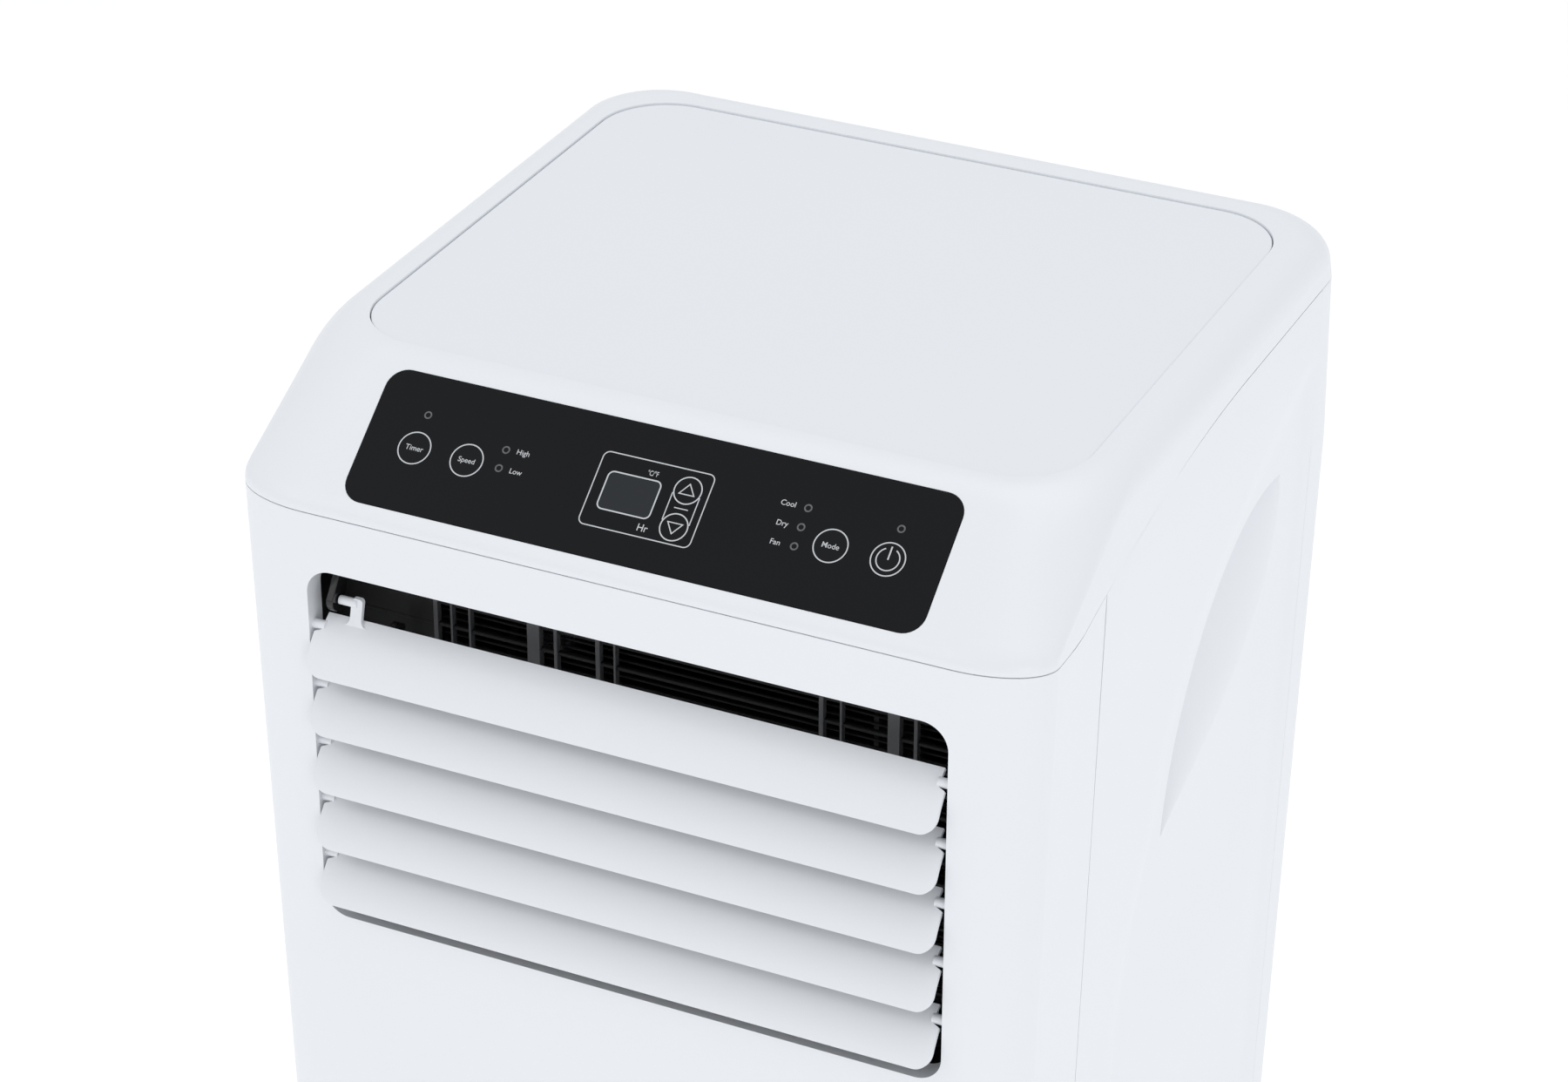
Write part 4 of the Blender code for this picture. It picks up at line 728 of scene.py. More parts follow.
def on_seat_edge(a, b):
    """The upper edge round the plate's seat."""
    flat = all(abs(p.z - SEAM - RISE) < NEAR for p in (a, b))
    reach = 0.6 * MM
    inner = all(
        abs(p.x) < PLATE_HALF + reach and FRONT + PLATE_DEPTHS[0] - reach < p.y for p in (a, b)
    )
    return flat and inner


bevel_edges(cover, on_seat_edge, 0.35 * MM, 2)
soften(cover, 0.30 * MM, 2, 50)
finish_piece(cover, "cover_shell", WHITE, "casing", ["top_cover"])

# %% [markdown]
# ## The top plate
# A flat plate drops into the cover with a hairline gap all round, and its edge is barely rounded.

# %% Top plate
plate = prism(plate_outline(0), SEAM + PLATE_UNDER, SEAM + PLATE_TOP, FLAT)
soften(plate, 0.35 * MM, 3, 50)
finish_piece(plate, "top_cover_plate", PLATE, "casing", ["top_plate"])

# %% [markdown]
# ## The front panel
# The front panel wraps round both front corners. Its face is flat, so the grid needs few columns
# there and many at the corners. The air outlet is one opening with a collar behind it, the reveal,
# and the opening's front edge is softly rounded, which catches a thin line of light.

# %% Front panel
OUTLET_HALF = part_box("outlet_grille")[1].x - 3 * MM
OUTLET_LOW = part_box("outlet_grille")[0].z - SEAM + 3 * MM
OUTLET_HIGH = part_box("outlet_grille")[1].z - SEAM - 3 * MM
OUTLET_CORNER = 11 * MM
REVEAL = 10.2 * MM
WALL = 3 * MM


def outlet_outline(grow):
    return grown(OUTLET_HALF, OUTLET_LOW, OUTLET_HIGH, OUTLET_CORNER, grow, 12)


def front_rows():
    """The outline through both front corners, carried on along the sides to the split."""
    rows, levels, columns = [], 6, 6
    corner_end, left = FRONT_ALONG, FRONT_SPLIT - GAP / 2
    between = [corner_end + (left - corner_end) * j / columns for j in range(1, columns + 1)]
    for k in range(levels + 1):
        side = plain_side(panel_height(left, k, levels))
        ends = [
            [world(sign * side, depth, panel_height(depth, k, levels)) for depth in between]
            for sign in (-1, 1)
        ]
        rows.append(ends[0][::-1] + panel_row(range(2 * CORNER + 2), k, levels) + ends[1])
    return rows


front = thicken(wrap_grid(front_rows()), WALL)
reveal = upright(outlet_outline(WALL), WALL / 2, REVEAL)
combine(front, reveal)
cut(front, upright(outlet_outline(0), -20 * MM, 30 * MM))
tidy_mesh(front, WELD)


def outlet_front_edge(a, b):
    """The opening's edge in the plane of the front face."""
    return all(
        abs(p.y - FRONT) < NEAR and abs(p.x) < OUTLET_HALF + NEAR
        and OUTLET_LOW - NEAR < p.z - SEAM < OUTLET_HIGH + NEAR
        for p in (a, b)
    )


bevel_edges(front, outlet_front_edge, 2.2 * MM, 5)
soften(front, 0.30 * MM, 2, 50)
finish_piece(front, "front_shell", WHITE, "casing", ["front_panel"])

# %% [markdown]
# ## The side panels and their grips
# Each side has a leaf-shaped grip. It is deep under its upper edge, where the fingers hook in, and
# it runs out to nothing along its lower edge. A soft ridge comes down from the top, passes above
# the grip, and goes on to the base, and the wall behind the ridge lies a little lower. The ridge is
# pressed into the grid. A cup is joined to the wall's inside, and the grip is cut out of both.

# %% Curves of the grip and the ridge
TIP, TAIL = (265.5 * MM, -43 * MM), (148.5 * MM, -151.5 * MM)
HOOK = ((208 * MM, -32 * MM), (153 * MM, -87 * MM))
SOFT = ((281 * MM, -115 * MM), (173 * MM, -141 * MM))
POCKET, CUP_WALL, CUP_FLOOR = 21 * MM, 2.2 * MM, 2.4 * MM
OUTSIDE_X = 300 * MM  # clear of the casing
GRIP_STEPS = 40


def cubic(a, b, c, d, steps):
    made = []
    for i in range(steps + 1):
        t = i / steps
        u = 1 - t
        made.append(tuple(
            u**3 * a[k] + 3 * u * u * t * b[k] + 3 * u * t * t * c[k] + t**3 * d[k] for k in (0, 1)
        ))
    return made


def curve_mm(points, steps):
    return cubic(*((depth * MM, height * MM) for depth, height in points), steps)


RIDGE = curve_mm(((312, 4), (225, -22), (150, -62), (135, -125)), 24)
RIDGE += curve_mm(((135, -125), (131, -147), (101, -170), (101, -240)), 16)[1:]
RIDGE += [(101 * MM, -700 * MM)]
RIDGE_DROP = 1.6 * MM
RIDGE_FLANK = (-2 * MM, 11 * MM)  # where the drop starts and ends, from the ridge backwards


def behind_ridge(depth, height):
    """Distance from the ridge: positive behind it, negative before it."""
    best, sign = 1.0, 1.0
    for (ax, ay), (bx, by) in zip(RIDGE, RIDGE[1:]):
        dx, dy = bx - ax, by - ay
        t = max(0.0, min(1.0, ((depth - ax) * dx + (height - ay) * dy) / (dx * dx + dy * dy)))
        away = math.hypot(depth - ax - dx * t, height - ay - dy * t)
        if away < best:
            best, sign = away, 1.0 if dx * (height - ay) - dy * (depth - ax) > 0 else -1.0
    return best * sign


def ease(value, low, high):
    t = max(0.0, min(1.0, (value - low) / (high - low)))
    return t * t * (3 - 2 * t)


def side_dip(depth, height):
    """How far the wall lies inside the casing's plain form: nothing at the seams and the base."""
    drop = RIDGE_DROP * ease(behind_ridge(depth, height), *RIDGE_FLANK)
    from_rear, from_base, from_seam = 16 * MM, 30 * MM, 12 * MM
    ends = ease(REAR_SPLIT - depth, 0.0, from_rear) * ease(height - BASE_TOP, 0.0, from_base)
    return drop * ends * ease(seam_height(depth) - height, 0.0, from_seam)


def side_x(depth, height):
    return plain_side(height) - side_dip(depth, height)


def side_rows():
    left, right = FRONT_SPLIT + GAP / 2, REAR_SPLIT - GAP / 2
    columns = 60
    depths = [left + (right - left) * i / columns for i in range(columns + 1)]
    rows, count = [], 96
    for k in range(count + 1):
        share = (k / count) ** 0.62
        row = []
        for depth in depths:
            low, high = BASE_TOP + GAP / 2, seam_height(depth) - GAP / 2
            height = low + (high - low) * share
            row.append(world(side_x(depth, height), depth, height))
        rows.append(row)
    return rows


# %% Grip cutter and cup
def grip_block(grow, deeper, outside=None):
    """The grip's hollow as a solid: deep at the hook edge, and flush at the soft edge.

    Its lid is a plane at the outside X, or else lies within the wall."""
    hook, soft = cubic(TIP, *HOOK, TAIL, GRIP_STEPS), cubic(TIP, *SOFT, TAIL, GRIP_STEPS)
    middle = ((TIP[0] + TAIL[0]) / 2, (TIP[1] + TAIL[1]) / 2)

    def away(point):
        dx, dy = point[0] - middle[0], point[1] - middle[1]
        scale = 1 + grow / math.hypot(dx, dy)
        return middle[0] + dx * scale, middle[1] + dy * scale

    rows, across = [], 16
    for j in range(across + 1):  # from the hook edge to the soft edge
        v = j / across
        row = []
        for i, (a, b) in enumerate(zip(hook, soft)):
            u = i / GRIP_STEPS
            full = (math.sin(math.pi * u)) ** 0.45 if 0 < u < 1 else 0.0
            depth, height = away((a[0] + (b[0] - a[0]) * v, a[1] + (b[1] - a[1]) * v))
            hollow = POCKET * full * (0.5 + 0.5 * math.cos(math.pi * v)) ** 0.85
            # A cutter's soft edge ends just outside the wall, so that no skin is left there.
            lift = 0.12 * MM if v == 1 and deeper == 0 else 0
            row.append(world(side_x(depth, height) - hollow - deeper + lift, depth, height))
        rows.append(row)
    piece = edit(wrap_grid(rows), merge_within(NEAR), extrude_by(1, 0, 0))
    for vertex in piece.data.vertices:
        if vertex.co.x > 0.5:
            inside_wall = side_x(vertex.co.y - FRONT, vertex.co.z - SEAM) - 0.8 * MM
            vertex.co.x = outside or inside_wall
    return tidy_mesh(piece)


side = thicken(wrap_grid(side_rows()), WALL)
cup = grip_block(CUP_WALL, CUP_FLOOR)
combine(side, cup)
cut(side, grip_block(0.0, 0.0, OUTSIDE_X))
tidy_mesh(side, WELD)
hook_line = cubic(TIP, *HOOK, TAIL, GRIP_STEPS)


def on_hook_edge(a, b):
    def near(p):
        d, h = p.y - FRONT, p.z - SEAM
        close = min(math.hypot(d - x, h - y) for x, y in hook_line) < 1.6 * MM
        return close and abs(p.x - side_x(d, h)) < 0.25 * MM
    return near(a) and near(b) and (a - b).length > 1e-5


bevel_edges(side, on_hook_edge, 1.6 * MM, 4)
soften(side, 0.25 * MM, 2, 60)
twin = side.copy()
twin.data = side.data.copy()
bpy.context.scene.collection.objects.link(twin)
pick(twin)
bpy.ops.transform.resize(value=(-1, 1, 1), center_override=(0, 0, 0))
settle(twin)
tidy_mesh(twin)
finish_piece(side, "right_side_shell", WHITE, "casing", ["right_side_panel"])
finish_piece(twin, "left_side_shell", WHITE, "casing", ["left_side_panel"])

# %% [markdown]
# ## Louvres
# Five bowed blades close the outlet, each on two small pins. The first has a tab with a pin that
# the crank moves, and a link behind ties the others to it. A blade is a grid bent to the bow, with
# its lower corners rounded by drawing the rows in, and then thickened evenly to both sides.

# %% Blade shape
LEAN = math.radians(38.7)  # of the blade's chord from upright
TAIL_REACH, HEAD_REACH, BOW = 20.4 * MM, 5.3 * MM, 2.4 * MM
BLADE = 1.8 * MM
HEAD_HALF, TAIL_HALF, BLADE_CORNER = OUTLET_HALF - 4.4 * MM, OUTLET_HALF - 1.5 * MM, 7 * MM
PIVOTS = [joint_at.get(f"louvre_{i + 1}_tilt") for i in range(5)]
print("pivots", PIVOTS)


def blade_section(along):
    """Depth and height from the pivot, at a distance down the blade."""
    whole = TAIL_REACH + HEAD_REACH

    def bulge(at):
        share = (at + HEAD_REACH) / whole
        return BOW * 4 * share * (1 - share)

    out = bulge(along) - bulge(0.0)
    sine, cosine = math.sin(LEAN), math.cos(LEAN)
    return -sine * along - cosine * out, -cosine * along + sine * out


def blade_half(along):
    """Half the blade's width: less at the pins, and rounded off at the lower corners."""
    notch_end, full = 1.8 * MM, 3.4 * MM
    if along < notch_end:
        return HEAD_HALF
    wide = HEAD_HALF + (TAIL_HALF - HEAD_HALF) * ease(along, notch_end, full)
    over = along - (TAIL_REACH - BLADE_CORNER)
    if over <= 0:
        return wide
    return TAIL_HALF - BLADE_CORNER + math.sqrt(max(0.0, BLADE_CORNER**2 - over**2))


def blade_rows(at):
    straight = [
        reach * MM for reach in
        (-5.3, -4.2, -2.6, -1.0, 0.6, 1.8, 2.2, 2.6, 3.0, 3.4, 4.8, 6.6, 8.6, 10.6, 12.2)
    ]
    corner_start = TAIL_REACH - BLADE_CORNER
    round_end = [corner_start + BLADE_CORNER * math.sin(math.radians(9 * i)) for i in range(11)]
    shares = [-1, -0.985, -0.96] + [-0.92 + 1.84 * i / 12 for i in range(13)] + [0.96, 0.985, 1]
    rows = []
    for along in straight + round_end:
        depth, height = blade_section(along)
        half = blade_half(along)
        rows.append([at + Vector((half * share, depth, height)) for share in shares])
    return rows


def upright_at(at, points, low_x, high_x):
    """An outline in depth and height from a place, solid between two X."""
    placed = [(at.y + depth, at.z + height) for depth, height in points]
    return prism(placed, low_x, high_x, SIDEWAYS)


LINK_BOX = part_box("louvre_link")
LINK_X = (LINK_BOX[0].x + LINK_BOX[1].x) / 2
LINK_ARM = 11 * MM
TAB_X = -117.5 * MM
CRANK_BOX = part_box("louvre_crank")
TAB_PIN = (math.sin(LEAN) * HEAD_REACH + 1.0 * MM, math.cos(LEAN) * HEAD_REACH + 6.51 * MM)


def make_blade(index):
    at = Vector((0, PIVOTS[index].y, PIVOTS[index].z))
    blade = wrap_grid(blade_rows(at))
    modify(blade, "SOLIDIFY", thickness=BLADE, offset=0.0, use_even_offset=True)
    tidy_mesh(blade)
    soften(blade, 0.7 * MM, 3, 50)
    tidy_mesh(blade, NEAR)
    extras = []
    for sign in (-1, 1):
        near, far = HEAD_HALF - 0.9 * MM, OUTLET_HALF + 2.7 * MM
        extras.append(axle(at, sign * near, sign * far, 2 * MM, 32))
    return blade, at, extras


def make_arm(at):
    """The black arm behind a blade, with the pin that the link holds."""
    reach = arc((LINK_ARM, 0), (2 * MM, 2 * MM), -90, 90, 14)
    reach += arc((2.6 * MM, -1.2 * MM), (1.9 * MM, 1.9 * MM), 90, 270, 14)
    arm = upright_at(at, reach, LINK_X + 1.3 * MM, LINK_X + 3.3 * MM)
    soften(arm, 0.3 * MM, 2, 50)
    pin_at = at + Vector((LINK_X, LINK_ARM, 0))
    return combine(arm, axle(pin_at, -2 * MM, 2 * MM, 1 * MM, 16))


def make_tab(at):
    """The tab flares into the blade, leans back, and ends in two round corners."""
    half, root, top = 2.5 * MM, 2.0 * MM, TAB_PIN[1] + 2.2 * MM
    flare, corner = 3 * MM, 1.5 * MM
    points = arc((-half - flare, root + flare), (flare, flare), -90, 0, 6)
    points += arc((-half + corner, top - corner), (corner, corner), 180, 90, 4)
    points += [(-x, height) for x, height in reversed(points)]
    tab = prism(points[::-1], -1 * MM, 1 * MM, UPRIGHT)
    low, high = 1.9 * MM, TAB_PIN[0]
    for vertex in tab.data.vertices:
        share = (vertex.co.z - root) / (TAB_PIN[1] - root)
        vertex.co += Vector((TAB_X, at.y + low + (high - low) * share, at.z))
    soften(tab, 0.35 * MM, 2, 50)
    pin_at = at + Vector((0, *TAB_PIN))
    return [tab, axle(pin_at, CRANK_BOX[1].x + 0.6 * MM, TAB_X, 1.85 * MM)]


# %% Five louvres
for index in range(5):
    blade, at, extras = make_blade(index)
    if index == 0:
        extras += make_tab(at)
    combine(blade, *extras)
    tidy_mesh(blade, WELD)
    number, body = str(index + 1), f"louvre_{index + 1}"
    finish_piece(blade, "louvre_blade_" + number, WHITE, body, [body], 40)
    finish_piece(make_arm(at), "louvre_arm_" + number, INNER, body)

# %% [markdown]
# ## Crank and link
# A black drop-shaped crank on the motor's shaft moves the first louvre, and a thin black bar passes
# the motion on.

# %% Crank and link
crank_at = joint_at["louvre_crank_turn"]
first_pivot = Vector((0, PIVOTS[0].y, PIVOTS[0].z))
tab_end = (first_pivot.y + TAB_PIN[0] - crank_at.y, first_pivot.z + TAB_PIN[1] - crank_at.z)
way = math.degrees(math.atan2(tab_end[1], tab_end[0]))
drop = arc(tab_end, (5 * MM, 5 * MM), way - 80, way + 80, 20)
drop += arc((0, 0), (3 * MM, 3 * MM), way + 95, way + 265, 20)
shaft_at = Vector((0, crank_at.y, crank_at.z))
crank = upright_at(shaft_at, drop, CRANK_BOX[0].x, CRANK_BOX[1].x)
cut(crank, axle(shaft_at, CRANK_BOX[0].x - MM, CRANK_BOX[1].x + MM, 2.15 * MM))
soften(crank, 0.6 * MM, 3, 50)
finish_piece(crank, "crank_arm", GLOSS, "louvre_crank", ["louvre_crank"], 40)

pins = [Vector((0, pivot.y + LINK_ARM, pivot.z)) for pivot in PIVOTS]
bar = arc((0, 0), (2 * MM, 2 * MM), 0, 180, 14)
bar += arc((0, pins[-1].z - pins[0].z), (2 * MM, 2 * MM), 180, 360, 14)
link = upright_at(pins[0], bar, LINK_BOX[0].x, LINK_BOX[1].x)
for pin in pins:
    cut(link, axle(pin, LINK_BOX[0].x - MM, LINK_BOX[1].x + MM, 1.15 * MM, 16))
soften(link, 0.3 * MM, 2, 50)
finish_piece(link, "link_bar", INNER, "louvre_link", ["louvre_link"], 40)

# %% [markdown]
# ## The guard in the outlet
# Behind the louvres a black guard keeps fingers out. It has slats at a centimetre's pitch, finer
# ones behind them, a few uprights of different widths, and a plain wall at the left, where the
# crank works. One slat is made and repeated with an array.

# %% Guard, duct and their bars
GUARD_LOW, GUARD_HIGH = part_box("outlet_grille")
guard_near, guard_far = GUARD_LOW.y, GUARD_HIGH.y


def slats(count, pitch, tall, near, far, first):
    piece = block((-OUTLET_HALF - 1 * MM, near, first), (OUTLET_HALF + 1 * MM, far, first + tall))
    soften(piece, 0.3 * MM, 1, 50)
    return repeat(piece, count, pitch)


def join_all(pieces):
    pick(*pieces)
    bpy.ops.object.join()
    return bpy.context.object


frame_ring = through(inset_box(GUARD_LOW, GUARD_HIGH, 0, 6 * MM), guard_near, guard_far)
guard_hole = inset_box(GUARD_LOW, GUARD_HIGH, 4 * MM, 5 * MM)
cut(frame_ring, through(guard_hole, guard_near - MM, guard_far + MM))
front_slats = slats(16, 10 * MM, 1.5 * MM, guard_near, guard_near + 2.2 * MM, GUARD_LOW.z + 6 * MM)
fine_slats = slats(
    46, 3.5 * MM, 0.8 * MM, guard_far - 1.8 * MM, guard_far - 0.4 * MM, GUARD_LOW.z + 4.5 * MM,
)
blank = block(
    (-OUTLET_HALF, guard_near + 0.2 * MM, GUARD_LOW.z + 3 * MM),
    (-92 * MM, guard_far - 2 * MM, GUARD_HIGH.z - 3 * MM),
)
guard = join_all([frame_ring, front_slats, fine_slats, blank])
finish_piece(guard, "outlet_guard", INNER, "casing", ["outlet_grille"], 40)

bars = []
for x, wide in (
    (-91, 2.0), (-84, 1.0), (-76, 1.0), (-47.8, 5.5), (-38.5, 1.6), (-20.3, 2.0), (-13, 1.0),
    (73.8, 2.0), (82, 1.0), (103.8, 5.0), (112.5, 1.6),
):
    proud = (1.2 if wide > 4 else 0.6) * MM
    piece = block(
        (x * MM - wide / 2 * MM, guard_near - proud, GUARD_LOW.z + 3.5 * MM),
        (x * MM + wide / 2 * MM, guard_near + 2.6 * MM, GUARD_HIGH.z - 3.5 * MM),
    )
    soften(piece, min(0.35, wide / 4) * MM, 2, 50)
    bars.append(piece)
finish_piece(join_all(bars), "guard_bars", RIB, "casing", smooth=40)

duct = upright(outlet_outline(2.6 * MM), REVEAL + 0.3 * MM, guard_near - FRONT - 0.3 * MM)
cut(duct, upright(outlet_outline(0.8 * MM), 0, 50 * MM))
finish_piece(duct, "outlet_duct", INNER, "casing")

# %% [markdown]
# ## The control panel
# A glossy black film covers the slope. The six keys are the film's own round areas, and each has
# its printed ring, so that the print moves with the key. Lines are thin ribbons and words are text
# made into a mesh, both a few hundredths of a millimetre proud, as screen printing is. The words
# are only plain function names and units.

# %% Film and display
KEYS = {
    "timer_key": (-98.7, 31.4, 7.0), "speed_key": (-76.0, 31.4, 7.0), "up_key": (14.5, 39.7, 5.8),
    "down_key": (14.5, 24.4, 5.8), "mode_key": (76.0, 31.4, 7.0), "power_key": (99.0, 31.4, 7.0),
}
KEY_FIT = 0.12  # the gap round a key, in millimetres


def box_mm(low, high, radius):
    """A rounded rectangle given in millimetres."""
    return rounded([c * MM for c in low], [c * MM for c in high], radius * MM)


def on_slope(x, v, z=0.0):
    return SLOPE @ Vector((x * MM, v * MM, z * MM))


film = prism(film_outline(0), -1.4 * MM, 0.2 * MM, SLOPE)
cut(film, *(
    rod(on_slope(x, v, -5), on_slope(x, v, 5), (r + KEY_FIT) * MM, 64) for x, v, r in KEYS.values()
))
cut(film, prism(box_mm((-18.4, 25.0), (3.6, 40.6), 2.3), -5 * MM, 5 * MM, SLOPE))
soften(film, 0.08 * MM, 2, 50)
finish_piece(film, "control_film", FILM, "casing", ["control_overlay"], 25)

screen = prism(box_mm((-18.25, 25.15), (3.45, 40.45), 2.2), -1.8 * MM, 0.1 * MM, SLOPE)
soften(screen, 0.1 * MM, 2, 50)
finish_piece(screen, "screen_lens", LENS, "casing", ["display_window"], 25)


def turned_on_slope(profile, x, v, steps):
    """A profile in millimetres, spun round an axis square to the slope."""
    return turned([(a * MM, b * MM) for a, b in profile], on_slope(x, v), slope_out, steps)


for name, (x, v, r) in KEYS.items():
    profile = [(0, 0.2), (r - 0.12, 0.2), (r - 0.03, 0.16), (r, 0.05), (r, -1.7)]
    profile += [(r + 1.2, -1.7), (r + 1.2, -2.7), (0, -2.7)]
    cap = turned_on_slope(profile, x, v, 64)
    finish_piece(cap, name + "_cap", KEY, name, [name], 40)

# %% Printed lines and words
PRINT_TOP, PRINT_THICK = 0.25 * MM, 0.1 * MM


def ribbon(points, width, closed=False):
    """A flat line through points on the slope, in millimetres."""
    spots = [Vector((x * MM, v * MM, PRINT_TOP)) for x, v in points]
    if closed:
        spots.append(spots[0].copy())
    sides = ([], [])
    for i, spot in enumerate(spots):
        before = spots[i - 1] if i else (spots[-2] if closed else spot)
        after = spots[i + 1] if i < len(spots) - 1 else (spots[1] if closed else spot)
        a, b = spot - before, after - spot
        a, b = (a if a.length else b).normalized(), (b if b.length else a).normalized()
        across = Vector((-(a + b).y, (a + b).x, 0)).normalized()
        reach = width / 2 * MM / max(0.5, across.dot(Vector((-a.y, a.x, 0))))
        sides[0].append(spot - across * reach)
        sides[1].append(spot + across * reach)
    piece = wrap_grid([sides[0], sides[1]], closed=closed)
    thicken(piece, PRINT_THICK)
    low = min(vertex.co.z for vertex in piece.data.vertices)
    piece.data.transform(SLOPE @ Matrix.Translation((0, 0, PRINT_TOP - PRINT_THICK - low)))
    return tidy_mesh(piece, 1e-7)


def ring(x, v, radius, width, start=0, end=360):
    closed = end - start >= 360
    points = arc((x, v), (radius, radius), start, end, max(12, int((end - start) / 6)))
    return ribbon(points[:-1] if closed else points, width, closed)


def word(body, x, v, size, squeeze=1.0):
    bpy.ops.object.text_add()
    piece = bpy.context.object
    text = piece.data
    text.body, text.size = body, size * MM
    text.align_x = text.align_y = "CENTER"
    text.extrude = PRINT_THICK / 2
    text.offset = 0.012 * MM
    text.resolution_u = 4
    bpy.ops.object.convert(target="MESH")
    piece = bpy.context.object
    piece.data.transform(Matrix.Diagonal((squeeze, 1, 1, 1)))
    piece.data.transform(SLOPE @ Matrix.Translation((x * MM, v * MM, PRINT_TOP - PRINT_THICK / 2)))
    return tidy_mesh(piece, 1e-7)


def finish_print(pieces, name, body):
    return finish_piece(join_all(pieces), name, INK, body, smooth=40)


LINE = 0.5
for name, label, size in (("timer", "Timer", 3.1), ("speed", "Speed", 3.0), ("mode", "Mode", 3.1)):
    x, v, r = KEYS[name + "_key"]
    key_marks = [ring(x, v, r - 0.35, LINE), word(label, x, v - 0.1, size)]
    finish_print(key_marks, name + "_print", name + "_key")
x, v, r = KEYS["power_key"]
key_marks = [ring(x, v, r - 0.35, LINE), ring(x, v, 4.5, LINE, 118, 422)]
key_marks.append(ribbon([(x, v - 0.2), (x, v + 5.2)], LINE + 0.1))
finish_print(key_marks, "power_print", "power_key")
for name, sign in (("up", 1), ("down", -1)):
    x, v, r = KEYS[name + "_key"]
    triangle = [(x - 3.1, v - sign * 1.7), (x + 3.1, v - sign * 1.7), (x, v + sign * 2.7)]
    key_marks = [ring(x, v, r - 0.3, LINE), ribbon(triangle, 0.45, True)]
    finish_print(key_marks, name + "_print", name + "_key")
arrow_x = KEYS["up_key"][0]
marks = [ribbon(rounded((-23.2, 17.5), (23.2, 48), 2.6), 0.45, True)]
marks.append(ribbon(rounded((-18.4, 25), (3.6, 40.6), 2.3), 0.55, True))
for x in (arrow_x - 5.6, arrow_x + 5.6):
    marks.append(ribbon([(x, 26.3), (x, 37.8)], 0.42))
marks.append(ribbon([(11.7, 32.1), (17.4, 32.1)], 0.4))
for body, x, v, size, squeeze in (
    ("High", -54.8, 39.3, 3.0, 1), ("Low", -54.9, 31.2, 3.0, 1), ("Cool", 54.4, 43.8, 3.1, 1),
    ("Dry", 54.8, 35.7, 3.1, 1), ("Fan", 54.8, 27.9, 3.1, 1),
    ("°C/°F", -1.3, 43.1, 3.0, 0.68), ("Hr", 2.6, 21.1, 4.2, 0.95),
):
    marks.append(word(body, x, v, size, squeeze))
finish_print(marks, "panel_print", "casing")

# %% Indicator lamps
lamps = []
dome = [(0, 0.17), (0.95, 0.17), (1.15, 0.26), (1.4, 0.29), (1.6, 0.24), (1.7, 0.12), (0, 0.12)]
for x, v in (
    (-98.6, 45.7), (-62.1, 39.1), (-62.1, 31.3),
    (62.4, 43.8), (62.4, 35.9), (62.5, 28.0), (99.8, 44.1),
):
    lamps.append(turned_on_slope(dome, x, v, 32))
finish_piece(join_all(lamps), "indicator_lamps", LAMP, "casing", smooth=50)

# %% [markdown]
# ## The rear panel
# The rear panel wraps round both rear corners. It has an intake with a filter above, a round
# exhaust in the middle and a second intake below. It is a grid like the front, and the openings are
# cut out of it.

# %% Rear panel
def rear_rows():
    """The outline through both rear corners, carried on along the sides to the split."""
    rows, levels, columns = [], 8, 3
    start = 2 * CORNER + 2 + SIDE - 1
    right = REAR_SPLIT + GAP / 2
    for k in range(levels + 1):
        row = panel_row(range(start, start + 2 * CORNER + 2), k, levels)
        corner_start = row[0].y - FRONT
        places = [right + (corner_start - right) * j / columns for j in range(columns)]
        places = [(depth, panel_height(depth, k, levels)) for depth in places]
        ends = [
            [world(sign * plain_side(height), depth, height) for depth, height in places]
            for sign in (1, -1)
        ]
        rows.append(ends[0] + row + ends[1][::-1])
    return rows


def drill(node, radius, deep, steps=48):
    """A cutter through the back, in line with a round node."""
    low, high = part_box(node)
    x, z = (low.x + high.x) / 2, (low.z + high.z) / 2
    near, far = FRONT + DEPTH - deep, FRONT + DEPTH + 20 * MM
    return rod((x, near, z), (x, far, z), radius, steps)


collar_low, collar_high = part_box("exhaust_collar")
BORE = 62 * MM


rear = thicken(wrap_grid(rear_rows()), WALL)
for name in ("filter_cover", "lower_intake_grille"):
    hole = inset_box(*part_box(name), -0.5 * MM, 8 * MM)
    cut(rear, through(hole, FRONT + DEPTH - 25 * MM, FRONT + DEPTH + 20 * MM))
cut(rear, drill("exhaust_collar", BORE + 3.8 * MM, 25 * MM, 72))
cut(rear, drill("drain_cap", 8.3 * MM, 25 * MM), drill("cord_gland", 7.3 * MM, 25 * MM))
tidy_mesh(rear, WELD)
soften(rear, 0.5 * MM, 2, 50)
finish_piece(rear, "rear_shell", WHITE, "casing", ["rear_panel"])

# %% [markdown]
# ## Intake grilles and filter
# Each intake is a frame with sloping bars, so that the eye can't look straight in. One bar is made,
# leaned over by moving its rear edge down, and repeated with an array. The upper grille comes off
# with the filter net behind it.

